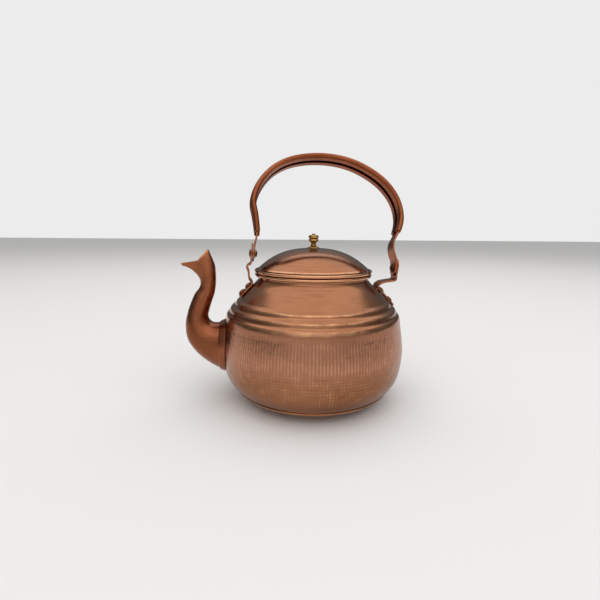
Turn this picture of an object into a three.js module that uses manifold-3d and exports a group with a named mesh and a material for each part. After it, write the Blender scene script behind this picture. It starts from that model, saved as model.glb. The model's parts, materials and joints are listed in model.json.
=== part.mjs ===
// A hammered copper kettle: squat raised body with a lapped base pan, beaded shoulder,
// wired mouth and lid edges, turned brass knob, swan-neck spout with an open beak, and an
// overhead bail handle that swings on rivets in two bent strap lugs.
//
// Millimetres, +Z up. The origin is the centre of the flat base. The spout points along -X.
// The bail lies in the plane of the spout and swings about a line close to the X axis.

import * as THREE from 'three';
import { mergeVertices } from 'three/addons/utils/BufferGeometryUtils.js';
import Module from 'manifold-3d';

const wasm = await Module();
wasm.setup();

// ---------------------------------------------------------------- driving dimensions

const GAP = 0.3; // space left between pieces that touch

// body
const BELLY_RADIUS = 98; // widest outside radius
const BELLY_HEIGHT = 54; // height of the widest ring
const BASE_RADIUS = 64; // flat that the kettle stands on
const PAN_HEIGHT = 14; // top edge of the base pan's wall
const PAN_LAP = 6; // how far the pan's wall covers the body's lower edge
const SHOULDER_HEIGHT = 94; // where the belly turns into the cone of the shoulder
const SHOULDER_RADIUS = 91.5;
const NECK_HEIGHT = 131.5; // narrowest ring under the mouth
const NECK_RADIUS = 58.4;
const BODY_WALL = 1.2;
const PAN_WALL = 1;
const BEAD_COUNT = 3; // raised rings on the shoulder
const BEAD_PITCH = 6.6; // measured up the axis
const BEAD_RISE = 1.2;
const TOP_BEAD_BELOW_NECK = 24.9;

// wired edges of mouth and lid
const ROLL_RADIUS = 1.75;
const ROLL_WALL = 0.5;
const WIRE_RADIUS = 0.9;
const MOUTH_RISE = 5.6; // from the narrowest ring to the top of the rolled mouth

// lid
const DOME_HEIGHT = 23.8;
const LID_WALL = 1;
const LID_OVERHANG = 0.4; // lid roll beyond the mouth roll
const COLLAR_WALL = 1;
const COLLAR_DEPTH = 6; // how far the collar reaches into the mouth
const COLLAR_PLAY = 2.1; // lets the lid come out at a slant past the bail
const STUD_RADIUS = 2;

// brass knob
const KNOB_HEIGHT = 15;
const KNOB_RADIUS = 5.4;
const KNOB_STEM_RADIUS = 2.7;
const KNOB_FOOT_RADIUS = 6.2;
const NUT_RADIUS = 4.2;
const NUT_THICKNESS = 2.6;
const KNOB_WASHER_RADIUS = 7;
const KNOB_WASHER_THICKNESS = 0.8;

// spout
const SPOUT_WALL = 1.1;
const SPOUT_REACH = 42.5; // from the belly out to the tip of the lower lip
const SPOUT_LIP_RISE = 14.1; // height of the lip's tip above the neck
const SPOUT_ROOT_RADIUS = 29;
const SPOUT_ROOT_HEIGHT = 60.5;
const SPOUT_NECK_RADIUS = 8.1;
const FLANGE_WIDTH = 6; // soldered band that hides the spout's root
const FLANGE_THICKNESS = 1.2;
const BODY_HOLE_RADIUS = 21;

// bail handle and its lugs
const FRONT_PIVOT_OUT = 5.4; // pivots, measured out and up from the narrowest ring
const FRONT_PIVOT_UP = 25.5;
const REAR_PIVOT_OUT = 31.6;
const REAR_PIVOT_UP = 10;
const HANDLE_RISE = 115.4; // from the hinge axis to the middle of the strap at the top
const HANDLE_LEAN = 17; // degrees that the stiff rivets hold it back from upright
const STRAP_WIDTH = 17;
const STRAP_THICKNESS = 1.8;
const GRIP_SIDE = 1.75; // how far the grip stands out past the strap on each side
const GRIP_DEPTH = 6;
const GRIP_SHEET = 0.9;
const GRIP_FRONT_END = 22; // along the strap from the pivots to the grip's ends
const GRIP_REAR_END = 42;
const LUG_THICKNESS = 1.8;
const LUG_TOP_REACH = 10.5; // from the pivot to the lug's rounded top
const FRONT_FOOT_TOP = 7.1; // foot plates, measured down from the narrowest ring
const FRONT_FOOT_RISE = 13.9;
const FRONT_FOOT_STANDOFF = 0.7; // least space under the foot's plate
const REAR_FOOT_TOP = 11.7;
const REAR_FOOT_RISE = 20.8;

// rivets
const PIVOT_SHANK_RADIUS = 2.5;
const PIVOT_HEAD_RADIUS = 4.4;
const PIVOT_HEAD_RISE = 1.7;
const PIVOT_PLAY = 0.1; // running clearance in the handle's eye
const FOOT_SHANK_RADIUS = 2;
const FOOT_HEAD_RADIUS = 4.3;
const FOOT_HEAD_RISE = 2.4;
const ROVE_RADIUS = 4.8;
const ROVE_THICKNESS = 0.8;

// fineness
const ROUND = 40;
const SPOUT_SIDES = 16;
const RIVET_SIDES = 12;

// ---------------------------------------------------------------- materials

function metal(color, roughness) {
  return () => new THREE.MeshStandardMaterial({ color, roughness, metalness: 1 });
}

const copper = metal(0x9a6144, 0.32);
const wornCopper = metal(0x8a4f34, 0.42);
const rivetCopper = metal(0x7a4630, 0.45);
const brass = metal(0x9c7a3a, 0.35);
const steelWire = metal(0x8b8680, 0.5);

// ---------------------------------------------------------------- solids

function signedVolume(positions, triangles) {
  const corner = [new THREE.Vector3(), new THREE.Vector3(), new THREE.Vector3()];
  let volume = 0;
  for (let i = 0; i < triangles.length; i += 3) {
    corner.forEach((point, k) => point.fromArray(positions, 3 * triangles[i + k]));
    volume += corner[0].dot(corner[1].cross(corner[2])) / 6;
  }
  return volume;
}

// A closed three.js geometry as a solid whose faces point out.
function solid(geometry) {
  const bare = geometry.clone();
  bare.deleteAttribute('normal');
  bare.deleteAttribute('uv');
  const merged = mergeVertices(bare, 1e-4);
  const vertProperties = new Float32Array(merged.attributes.position.array);
  const triVerts = new Uint32Array(merged.index.array);
  if (signedVolume(vertProperties, triVerts) < 0) {
    for (let i = 0; i < triVerts.length; i += 3) {
      [triVerts[i], triVerts[i + 1]] = [triVerts[i + 1], triVerts[i]];
    }
  }
  return new wasm.Manifold(new wasm.Mesh({ numProp: 3, vertProperties, triVerts }));
}

function geometryOf(body) {
  const mesh = body.getMesh();
  const geometry = new THREE.BufferGeometry();
  geometry.setAttribute('position', new THREE.BufferAttribute(mesh.vertProperties, 3));
  geometry.setIndex(new THREE.BufferAttribute(mesh.triVerts, 1));
  geometry.computeVertexNormals();
  return geometry;
}

function node(name, body, material) {
  const mesh = new THREE.Mesh(geometryOf(body), material());
  mesh.name = name;
  return mesh;
}

// A profile of [radius, height] points turned round the Z axis.
function turned(profile, sides = ROUND) {
  const points = profile.map(([radius, height]) => new THREE.Vector2(radius, height));
  const geometry = new THREE.LatheGeometry(points, sides);
  geometry.rotateX(Math.PI / 2);
  return solid(geometry);
}

// The same, closed on itself, for rings.
function turnedRing(profile, sides = ROUND) {
  return turned([...profile, profile[0]], sides);
}

function box(lowX, highX, lowY, highY, lowZ, highZ) {
  const geometry = new THREE.BoxGeometry(highX - lowX, highY - lowY, highZ - lowZ);
  geometry.translate((lowX + highX) / 2, (lowY + highY) / 2, (lowZ + highZ) / 2);
  return solid(geometry);
}

// Points of an outline in the XZ plane pulled out to a slab along Y.
function slab(outline, halfWidth) {
  const shape = new THREE.Shape(outline.map(([x, z]) => new THREE.Vector2(x, z)));
  const geometry = new THREE.ExtrudeGeometry(shape, { depth: 2 * halfWidth, bevelEnabled: false });
  geometry.rotateX(Math.PI / 2);
  geometry.translate(0, halfWidth, 0);
  return solid(geometry);
}

// A section swept along a path in the XZ plane. The section's first number runs across
// the path along -Y, and its second towards the inside of the arch.
function swept(section, path, steps) {
  const shape = new THREE.Shape(section.map(([across, inward]) => new THREE.Vector2(across, inward)));
  return solid(new THREE.ExtrudeGeometry(shape, { extrudePath: path, steps, bevelEnabled: false }));
}

function pathThrough(points) {
  const places = points.map(([x, z]) => new THREE.Vector3(x, 0, z));
  return new THREE.CatmullRomCurve3(places, false, 'centripetal');
}

const UP_Y = new THREE.Vector3(0, 1, 0);
const UP_Z = new THREE.Vector3(0, 0, 1);

// A rod on the line from `start` along `direction`.
function rod(start, direction, length, radius, sides = RIVET_SIDES) {
  const geometry = new THREE.CylinderGeometry(radius, radius, length, sides);
  geometry.translate(0, length / 2, 0);
  geometry.applyQuaternion(new THREE.Quaternion().setFromUnitVectors(UP_Y, direction));
  geometry.translate(start.x, start.y, start.z);
  return solid(geometry);
}

function circlePoints(radius, centre, count, from = 0, to = 360) {
  const whole = to - from === 360;
  return Array.from({ length: count }, (_, i) => {
    const angle = THREE.MathUtils.degToRad(from + ((to - from) * i) / (whole ? count : count - 1));
    return [centre[0] + radius * Math.cos(angle), centre[1] + radius * Math.sin(angle)];
  });
}

// ---------------------------------------------------------------- body outline

const TOP_BEAD_HEIGHT = NECK_HEIGHT - TOP_BEAD_BELOW_NECK;
const PAN_STEP = PAN_WALL + GAP;
const CORNER_HEIGHT = PAN_HEIGHT - PAN_LAP;

// Outside of the plain body from the pan's corner up to the neck, without its beads.
const plainOutline = new THREE.SplineCurve([
  [BASE_RADIUS + 0.37 * (BELLY_RADIUS - BASE_RADIUS), CORNER_HEIGHT],
  [BASE_RADIUS + 0.57 * (BELLY_RADIUS - BASE_RADIUS), PAN_HEIGHT],
  [BELLY_RADIUS - 7.8, 0.4 * BELLY_HEIGHT],
  [BELLY_RADIUS - 2.6, 0.61 * BELLY_HEIGHT],
  [BELLY_RADIUS, BELLY_HEIGHT],
  [BELLY_RADIUS - 1.6, BELLY_HEIGHT + 0.48 * (SHOULDER_HEIGHT - BELLY_HEIGHT)],
  [SHOULDER_RADIUS, SHOULDER_HEIGHT],
  [SHOULDER_RADIUS - 0.34 * (SHOULDER_RADIUS - NECK_RADIUS), TOP_BEAD_HEIGHT + 1],
  [NECK_RADIUS + 0.31 * (SHOULDER_RADIUS - NECK_RADIUS), NECK_HEIGHT - 11.3],
  [NECK_RADIUS + 3.2, NECK_HEIGHT - 4.3],
  [NECK_RADIUS, NECK_HEIGHT],
].map(([radius, height]) => new THREE.Vector2(radius, height)));

const plainSamples = plainOutline.getPoints(400);

// Radius of the plain body at a height.
function bodyRadius(height) {
  const after = Math.max(1, plainSamples.findIndex((point) => point.y >= height));
  const [low, high] = [plainSamples[after - 1], plainSamples[after]];
  return low.x + ((high.x - low.x) * (height - low.y)) / (high.y - low.y);
}

// Outward direction, [radial, up], of the plain body's surface at a height.
function bodyNormal(height) {
  const slope = bodyRadius(height + 0.5) - bodyRadius(height - 0.5);
  const length = Math.hypot(1, slope);
  return [1 / length, -slope / length];
}

// The beads' crests are one pitch apart, and the lowest one runs out slowly into the belly.
function beadRise(height) {
  let rise = 0;
  for (let i = 0; i < BEAD_COUNT; i += 1) {
    const crest = TOP_BEAD_HEIGHT - i * BEAD_PITCH;
    const lastRunOut = i === BEAD_COUNT - 1 && height < crest;
    const reach = (lastRunOut ? 1.5 : 0.5) * BEAD_PITCH;
    const away = Math.abs(height - crest) / reach;
    if (away < 1) rise += BEAD_RISE * Math.cos((away * Math.PI) / 2) ** 2;
  }
  return rise;
}

function outlinePoint(height, offset, withBeads) {
  const [radial, up] = bodyNormal(height);
  const out = offset + (withBeads ? beadRise(height) : 0);
  return [bodyRadius(height) + out * radial, height + out * up];
}

const quarterBead = BEAD_PITCH / 4;
const LOWEST_BEAD_FOOT = TOP_BEAD_HEIGHT - (BEAD_COUNT - 1) * BEAD_PITCH - 1.5 * BEAD_PITCH;
const TOP_BEAD_EDGE = TOP_BEAD_HEIGHT + BEAD_PITCH / 2;

function evenly(from, to, count) {
  return Array.from({ length: count }, (_, i) => from + ((to - from) * i) / (count - 1));
}

const bellyHeights = [
  ...evenly(CORNER_HEIGHT, PAN_HEIGHT, 3),
  ...evenly(PAN_HEIGHT, LOWEST_BEAD_FOOT, 8).slice(1),
];
const beadHeights = evenly(
  LOWEST_BEAD_FOOT + BEAD_PITCH,
  TOP_BEAD_EDGE,
  Math.round((TOP_BEAD_EDGE - LOWEST_BEAD_FOOT - BEAD_PITCH) / quarterBead) + 1,
);
const neckHeights = evenly(TOP_BEAD_EDGE, NECK_HEIGHT - 0.5, 5).slice(1);
const outerHeights = [...bellyHeights, ...beadHeights, ...neckHeights];
const innerHeights = [
  ...bellyHeights,
  ...evenly(LOWEST_BEAD_FOOT, TOP_BEAD_EDGE, 4).slice(1),
  ...neckHeights,
];

// mouth
const MOUTH_TOP = NECK_HEIGHT + MOUTH_RISE;
const MOUTH_WALL_OUTSIDE = NECK_RADIUS + 0.5;
const MOUTH_ROLL_RING = MOUTH_WALL_OUTSIDE + GAP + ROLL_RADIUS; // radius of the roll's middle
const MOUTH_INSIDE = MOUTH_WALL_OUTSIDE - BODY_WALL;

// The body as a full solid, grown by `offset`, for cutting what seats on it.
function bodySolid(offset) {
  const side = outerHeights.map((height) => outlinePoint(height, offset, true));
  const top = side[side.length - 1];
  return turned([[0, CORNER_HEIGHT - 2], [side[0][0], CORNER_HEIGHT - 2], ...side, [0, top[1]]]);
}

// ---------------------------------------------------------------- spout

// Sections of the swan neck. Each has its edge on the side towards the lip and its edge on
// the side towards the body, both as [out from the body's axis, height], then its half-width
// across the neck and how far the side towards the lip is drawn to a point. The root's edges
// hang on the root's middle and radius, and the rest on the lip.
const lip = [BELLY_RADIUS + SPOUT_REACH, NECK_HEIGHT + SPOUT_LIP_RISE];
const root = [BELLY_RADIUS - 3.5, SPOUT_ROOT_HEIGHT];
const fromRoot = (out, up) => [root[0] + out, root[1] + up * (SPOUT_ROOT_RADIUS / 29)];
const fromLip = (out, up) => [lip[0] + out, lip[1] + up];
const neckHalf = SPOUT_NECK_RADIUS;
const stations = [
  { outer: fromRoot(-13.1, -32.9), inner: fromRoot(-18.9, 29.9), wide: SPOUT_ROOT_RADIUS, point: 0 },
  { outer: fromRoot(3, -28.8), inner: fromRoot(-3, 28.8), wide: SPOUT_ROOT_RADIUS - 3, point: 0 },
  { outer: fromRoot(15.3, -22.9), inner: fromRoot(0.7, 24.9), wide: SPOUT_ROOT_RADIUS - 6.5, point: 0 },
  { outer: fromRoot(29.5, -11.6), inner: fromRoot(6.5, 22.6), wide: neckHalf + 10.9, point: 0 },
  { outer: fromLip(-5.8, -81.1), inner: fromLip(-34, -62.7), wide: neckHalf + 7.7, point: 0 },
  { outer: fromLip(-3.7, -64.5), inner: fromLip(-29.9, -60.3), wide: neckHalf + 4.9, point: 0 },
  { outer: fromLip(-6, -51.7), inner: fromLip(-27.8, -54.9), wide: neckHalf + 2.9, point: 0 },
  { outer: fromLip(-9.5, -41.7), inner: fromLip(-29.1, -48.5), wide: neckHalf + 2.1, point: 0 },
  { outer: fromLip(-14.3, -31.2), inner: fromLip(-32.1, -39), wide: neckHalf + 1.2, point: 0 },
  { outer: fromLip(-19.4, -24.4), inner: fromLip(-35.2, -29.8), wide: neckHalf, point: 0 },
  { outer: fromLip(-20.7, -18.7), inner: fromLip(-36.9, -18.9), wide: neckHalf, point: 0 },
  { outer: fromLip(-19.7, -14.4), inner: fromLip(-37, -8.6), wide: neckHalf, point: 0.15 },
  { outer: fromLip(-15.9, -10.2), inner: fromLip(-36.2, -0.6), wide: neckHalf - 0.2, point: 0.4 },
  { outer: fromLip(-10.3, -6.1), inner: fromLip(-33.9, 5.9), wide: neckHalf - 0.8, point: 0.6 },
  { outer: fromLip(-4.6, -2.8), inner: fromLip(-31.8, 11), wide: neckHalf - 1.9, point: 0.7 },
  { outer: fromLip(0.7, 0.1), inner: fromLip(-30, 15.4), wide: neckHalf - 4.1, point: 0.8 },
  { outer: fromLip(5.5, 5.4), inner: fromLip(-28.1, 19.4), wide: 1.6, point: 0.6 },
];

// The solid inside of a skin `offset` away from the spout's outside. A round bar's rings are
// stretched over the sections. `stretch` moves the two end rings out past their sections.
function spoutSolid(offset, stretch = 0) {
  const last = stations.length - 1;
  const geometry = new THREE.CylinderGeometry(1, 1, last, SPOUT_SIDES, last);
  const position = geometry.attributes.position;
  const place = new THREE.Vector3();
  for (let i = 0; i < position.count; i += 1) {
    place.fromBufferAttribute(position, i);
    const k = Math.round(place.y + last / 2);
    const { outer, inner, wide, point } = stations[k];
    const middle = [(outer[0] + inner[0]) / 2, (outer[1] + inner[1]) / 2];
    const half = Math.hypot(outer[0] - inner[0], outer[1] - inner[1]) / 2;
    const way = [(outer[0] - inner[0]) / (2 * half), (outer[1] - inner[1]) / (2 * half)];
    const push = k === last ? stretch : k === 0 ? -stretch : 0;
    const inPlane = place.x * (half + offset);
    const towardsLip = (1 + place.x) / 2;
    const across = place.z * Math.max(wide + offset, 0.3) * (1 - point * towardsLip ** 1.5);
    position.setXYZ(
      i,
      -(middle[0] + way[0] * inPlane - way[1] * push),
      across,
      middle[1] + way[1] * inPlane + way[0] * push,
    );
  }
  return solid(geometry);
}

// Everything above the open beak: from the hood's tip down to the notch and out to the lip.
const hoodTip = [lip[0] - 29, lip[1] + 15.4];
const notch = [lip[0] - 18.3, lip[1] + 3.6];
const beakCut = slab([
  [-hoodTip[0] + 4, hoodTip[1] + 4],
  [-hoodTip[0], hoodTip[1]],
  [-notch[0], notch[1]],
  [-lip[0] - 6, lip[1] + 0.4],
  [-lip[0] - 12, lip[1] + 30],
  [-hoodTip[0] + 4, lip[1] + 30],
], 30);

const spoutOutside = spoutSolid(0);
const spoutInside = spoutSolid(-SPOUT_WALL, 3);
const bodyWithGap = bodySolid(GAP);
const spoutShell = spoutOutside.subtract(spoutInside).subtract(beakCut).subtract(bodyWithGap);

const spoutFlange = spoutSolid(GAP + FLANGE_THICKNESS)
  .subtract(spoutSolid(GAP))
  .subtract(bodyWithGap)
  .intersect(bodySolid(GAP + FLANGE_WIDTH))
  .intersect(box(-BELLY_RADIUS - 40, -BELLY_RADIUS / 2, -60, 60, 0, NECK_HEIGHT));

const spoutHole = rod(
  new THREE.Vector3(-BELLY_RADIUS - 10, 0, SPOUT_ROOT_HEIGHT),
  new THREE.Vector3(1, 0, 0),
  40,
  BODY_HOLE_RADIUS,
  SPOUT_SIDES,
);

// ---------------------------------------------------------------- rivets

// A rivet's profile from its head (above zero) down through `grip` to a peened tail.
function rivetProfile(shank, head, rise, grip, tail, tailRise) {
  const dome = [75, 45, 20].map((angle) => {
    const a = THREE.MathUtils.degToRad(angle);
    return [head * Math.cos(a), rise * (0.25 + 0.75 * Math.sin(a))];
  }).reverse();
  return [
    [0, -grip - tailRise],
    [0.6 * tail, -grip - 0.8 * tailRise],
    [tail, -grip],
    [shank, -grip],
    [shank, 0],
    [head, 0],
    ...dome,
    [0, rise],
  ];
}

// Stands a piece that was turned round Z on `at`, with its Z along `direction`.
function stood(body, at, direction) {
  const matrix = new THREE.Matrix4().compose(
    at,
    new THREE.Quaternion().setFromUnitVectors(UP_Z, direction),
    new THREE.Vector3(1, 1, 1),
  );
  return body.transform(matrix.elements);
}

function ring(inside, outside, low, high, sides = RIVET_SIDES) {
  return turnedRing([[inside, low], [outside, low], [outside, high], [inside, high]], sides);
}

// ---------------------------------------------------------------- lugs

const frontOut = NECK_RADIUS + FRONT_PIVOT_OUT;
const rearOut = NECK_RADIUS + REAR_PIVOT_OUT;
const FRONT_PIVOT = new THREE.Vector3(-frontOut, 0, NECK_HEIGHT + FRONT_PIVOT_UP);
const REAR_PIVOT = new THREE.Vector3(rearOut, 0, NECK_HEIGHT + REAR_PIVOT_UP);
const FRONT_FOOT = footPlate(-1, FRONT_FOOT_TOP, FRONT_FOOT_RISE, FRONT_FOOT_STANDOFF);
const REAR_FOOT = footPlate(1, REAR_FOOT_TOP, REAR_FOOT_RISE, BEAD_RISE + GAP);
const hingeLine = new THREE.Vector3().subVectors(REAR_PIVOT, FRONT_PIVOT);
const PIVOT_SPAN = hingeLine.length();
const hingeAxis = hingeLine.clone().normalize();
const hingeUp = new THREE.Vector3(-hingeAxis.z, 0, hingeAxis.x);

// A foot plate's place on the shoulder. It is straight, so it stands far enough off the line
// between its ends to clear whatever bulges past that line.
function footPlate(side, belowNeck, rise, leastStandoff) {
  const high = NECK_HEIGHT - belowNeck;
  const low = high - rise;
  const [radial, up] = bodyNormal((low + high) / 2);
  const stepOut = (height, out) => (out - bodyRadius(low)) * radial + (height - low) * up;
  const lineEnd = stepOut(high, bodyRadius(high));
  const bulges = [0, 0.125, 0.25, 0.375, 0.5, 0.625, 0.75, 0.875, 1].map((share) => {
    const [out, height] = outlinePoint(low + share * rise, 0, true);
    return stepOut(height, out) - share * lineEnd;
  });
  return { side, low, high, standoff: Math.max(leastStandoff, GAP + Math.max(...bulges)) };
}

// A point `out` along the hinge axis away from the handle and `up` square to it.
function fromPivot(pivot, side, out, up) {
  const place = pivot.clone().addScaledVector(hingeAxis, side * out).addScaledVector(hingeUp, up);
  return [place.x, place.z];
}

const lugOffset = (STRAP_THICKNESS + LUG_THICKNESS) / 2 + GAP; // strap's middle to lug's

// One lug: foot plate on the shoulder, bends, and an upright end with the pivot's eye.
// `leave` is the first bend, [out, up] from the foot's top. `bends` are the others, each
// [out from the pivot, up from the pivot].
function lug(pivot, foot, leave, bends) {
  const { side } = foot;
  const rise = foot.standoff + LUG_THICKNESS / 2;
  const [radial, up] = bodyNormal((foot.low + foot.high) / 2);
  const footPoint = (height) => {
    return [side * (bodyRadius(height) + rise * radial), height + rise * up];
  };
  const low = footPoint(foot.low);
  const high = footPoint(foot.high);
  const middle = [(low[0] + high[0]) / 2, (low[1] + high[1]) / 2];
  const path = pathThrough([
    low,
    [(low[0] + middle[0]) / 2, (low[1] + middle[1]) / 2],
    middle,
    [(high[0] + middle[0]) / 2, (high[1] + middle[1]) / 2],
    high,
    [high[0] + side * leave[0], high[1] + leave[1]],
    ...bends.map(([out, lift]) => fromPivot(pivot, side, out + lugOffset, lift)),
    fromPivot(pivot, side, lugOffset + 0.2, -LUG_TOP_REACH),
    fromPivot(pivot, side, lugOffset, 0.15 - LUG_TOP_REACH),
    fromPivot(pivot, side, lugOffset, 0),
    fromPivot(pivot, side, lugOffset, LUG_TOP_REACH),
  ]);
  const halfWidth = STRAP_WIDTH / 2;
  const halfThick = LUG_THICKNESS / 2;
  const section = [
    [-halfWidth, -halfThick],
    [halfWidth, -halfThick],
    [halfWidth, halfThick],
    [-halfWidth, halfThick],
  ];
  const strip = swept(section, path, 32);
  const eyeCentre = pivot.clone().addScaledVector(hingeUp, LUG_TOP_REACH - halfWidth);
  const roundTop = rod(
    eyeCentre.clone().addScaledVector(hingeAxis, -20),
    hingeAxis,
    40,
    halfWidth,
    2 * RIVET_SIDES,
  );
  const below = slabBelow(eyeCentre);
  const hole = rod(
    pivot.clone().addScaledVector(hingeAxis, -20),
    hingeAxis,
    40,
    PIVOT_SHANK_RADIUS + GAP / 3,
  );
  const outward = new THREE.Vector3(side * radial, 0, up);
  const holes = footRivetPlaces(foot).map((at) => {
    return rod(at.clone().addScaledVector(outward, -12), outward, 30, FOOT_SHANK_RADIUS + GAP);
  });
  let body = strip.intersect(roundTop.add(below)).subtract(hole);
  holes.forEach((cut) => {
    body = body.subtract(cut);
  });
  return body;
}

// All space below the line through `centre` along the hinge axis.
function slabBelow(centre) {
  const far = 400;
  const corners = [[-far, 0], [far, 0], [far, -far], [-far, -far]];
  return slab(corners.map(([along, lift]) => {
    const place = centre.clone().addScaledVector(hingeAxis, along).addScaledVector(hingeUp, lift);
    return [place.x, place.z];
  }), STRAP_WIDTH);
}

// The two rivets stand on the middle of the foot plate, under their heads.
function footRivetPlaces(foot) {
  const { side } = foot;
  const rise = foot.standoff + LUG_THICKNESS + GAP;
  const [radial, up] = bodyNormal((foot.low + foot.high) / 2);
  const length = foot.high - foot.low;
  return [foot.low + 0.24 * length, foot.high - 0.24 * length].map((height) => {
    return new THREE.Vector3(side * (bodyRadius(height) + rise * radial), 0, height + rise * up);
  });
}

// How deep a rivet's rove sits under its head: below the wall all across the rove.
function roveDepth(foot, at) {
  const outward = footOutward(foot);
  const wall = foot.standoff + LUG_THICKNESS + GAP + BODY_WALL;
  const depths = [-1.3, -0.9, -0.5, 0, 0.5, 0.9, 1.3].map((share) => {
    const height = at.z - wall * outward.z + share * ROVE_RADIUS * Math.abs(outward.x);
    const [out, up] = outlinePoint(height, -BODY_WALL, false);
    const roundness = ROVE_RADIUS ** 2 / (2 * out);
    return (at.x - foot.side * (out - roundness)) * outward.x + (at.z - up) * outward.z;
  });
  return Math.max(wall, ...depths) + GAP;
}

function footOutward(foot) {
  const [radial, up] = bodyNormal((foot.low + foot.high) / 2);
  return new THREE.Vector3(foot.side * radial, 0, up);
}

// ---------------------------------------------------------------- body, base and mouth

const bodySide = outerHeights.map((height) => outlinePoint(height, 0, true));
const bodyInside = innerHeights.map((height) => outlinePoint(height, -BODY_WALL, false));
let bodyShell = turnedRing([
  ...bodySide,
  [MOUTH_WALL_OUTSIDE, NECK_HEIGHT + 1.2],
  [MOUTH_WALL_OUTSIDE, MOUTH_TOP - GAP],
  [MOUTH_INSIDE, MOUTH_TOP - GAP],
  [MOUTH_INSIDE, NECK_HEIGHT + 1.2],
  ...bodyInside.reverse(),
]).subtract(spoutHole);

const lugFeet = [
  { name: 'front', foot: FRONT_FOOT },
  { name: 'rear', foot: REAR_FOOT },
];

for (const { foot } of lugFeet) {
  const outward = footOutward(foot);
  for (const at of footRivetPlaces(foot)) {
    const start = at.clone().addScaledVector(outward, -15);
    bodyShell = bodyShell.subtract(rod(start, outward, 30, FOOT_SHANK_RADIUS + GAP));
  }
}

const panSide = evenly(CORNER_HEIGHT, PAN_HEIGHT, 3);
const cornerStart = outlinePoint(CORNER_HEIGHT, PAN_STEP, false);
const cornerCurve = new THREE.QuadraticBezierCurve(
  new THREE.Vector2(BASE_RADIUS, 0),
  new THREE.Vector2(BASE_RADIUS + 0.36 * (cornerStart[0] - BASE_RADIUS), 0.2 * CORNER_HEIGHT),
  new THREE.Vector2(cornerStart[0], cornerStart[1]),
).getPoints(4).map((point) => [point.x, point.y]);
const innerCorner = outlinePoint(CORNER_HEIGHT, GAP, false);
const basePan = turned([
  [0, 0],
  ...cornerCurve,
  ...panSide.slice(1).map((height) => outlinePoint(height, PAN_STEP, false)),
  ...panSide.map((height) => outlinePoint(height, GAP, false)).reverse(),
  [innerCorner[0] - 3, CORNER_HEIGHT - 2.2],
  [BASE_RADIUS, PAN_WALL],
  [0, PAN_WALL],
]);

// A rolled edge in section: an open C of sheet round its wire.
function rollSection(centre) {
  const outside = circlePoints(ROLL_RADIUS, centre, 7, 250, 540);
  const inside = circlePoints(ROLL_RADIUS - ROLL_WALL, centre, 5, 250, 540).reverse();
  return [...outside, ...inside];
}

const mouthRollCentre = [MOUTH_ROLL_RING, MOUTH_TOP - ROLL_RADIUS];
const mouthRoll = turnedRing(rollSection(mouthRollCentre));
const mouthWire = turnedRing(circlePoints(WIRE_RADIUS, mouthRollCentre, 6));

// ---------------------------------------------------------------- lid

const LID_RING = MOUTH_ROLL_RING + LID_OVERHANG; // radius of the lid roll's middle
const lidRollCentre = [LID_RING, MOUTH_TOP + GAP + ROLL_RADIUS];
const DOME_EDGE = LID_RING - ROLL_RADIUS - GAP;
const DOME_FOOT = lidRollCentre[1] + 0.3;
const DOME_FULLNESS = 2.6; // exponent of the dome's curve: 2 is a plain ellipse-like cap

function domeHeight(radius) {
  return DOME_FOOT + DOME_HEIGHT * (1 - (radius / LID_RING) ** DOME_FULLNESS);
}

const domeRadii = [0, 0.3, 0.5, 0.66, 0.79, 0.9, 1].map((share) => share * DOME_EDGE);

function domeSkin(offset) {
  return domeRadii.map((radius) => {
    const slope = (domeHeight(radius + 0.2) - domeHeight(Math.max(radius - 0.2, 0))) / 0.4;
    const length = Math.hypot(1, radius > 0 ? slope : 0);
    const lean = radius > 0 ? -slope / length : 0;
    return [Math.max(radius + offset * lean, 0), domeHeight(radius) + offset / length];
  });
}

const domeInside = domeSkin(-LID_WALL);
const studHole = rod(
  new THREE.Vector3(0, 0, MOUTH_TOP),
  UP_Z,
  2 * DOME_HEIGHT,
  STUD_RADIUS + GAP,
);
const lidDome = turned([...domeInside, ...domeSkin(0).reverse()]).subtract(studHole);
const lidRoll = turnedRing(rollSection(lidRollCentre));
const lidWire = turnedRing(circlePoints(WIRE_RADIUS, lidRollCentre, 6));

// The collar locates the lid in the mouth, and its top meets the dome from below.
const COLLAR_OUTSIDE = MOUTH_INSIDE - COLLAR_PLAY;
const domeUnder = (radius) => {
  const after = domeInside.findIndex((point) => point[0] >= radius);
  const [a, b] = [domeInside[after - 1], domeInside[after]];
  return a[1] + ((b[1] - a[1]) * (radius - a[0])) / (b[0] - a[0]);
};
const collarInside = COLLAR_OUTSIDE - COLLAR_WALL;
const lidCollar = turnedRing([
  [collarInside, MOUTH_TOP - COLLAR_DEPTH],
  [COLLAR_OUTSIDE, MOUTH_TOP - COLLAR_DEPTH],
  [COLLAR_OUTSIDE, domeUnder(COLLAR_OUTSIDE) - 2 * GAP],
  [collarInside, domeUnder(collarInside) - 2 * GAP],
]);

// ---------------------------------------------------------------- knob

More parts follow.
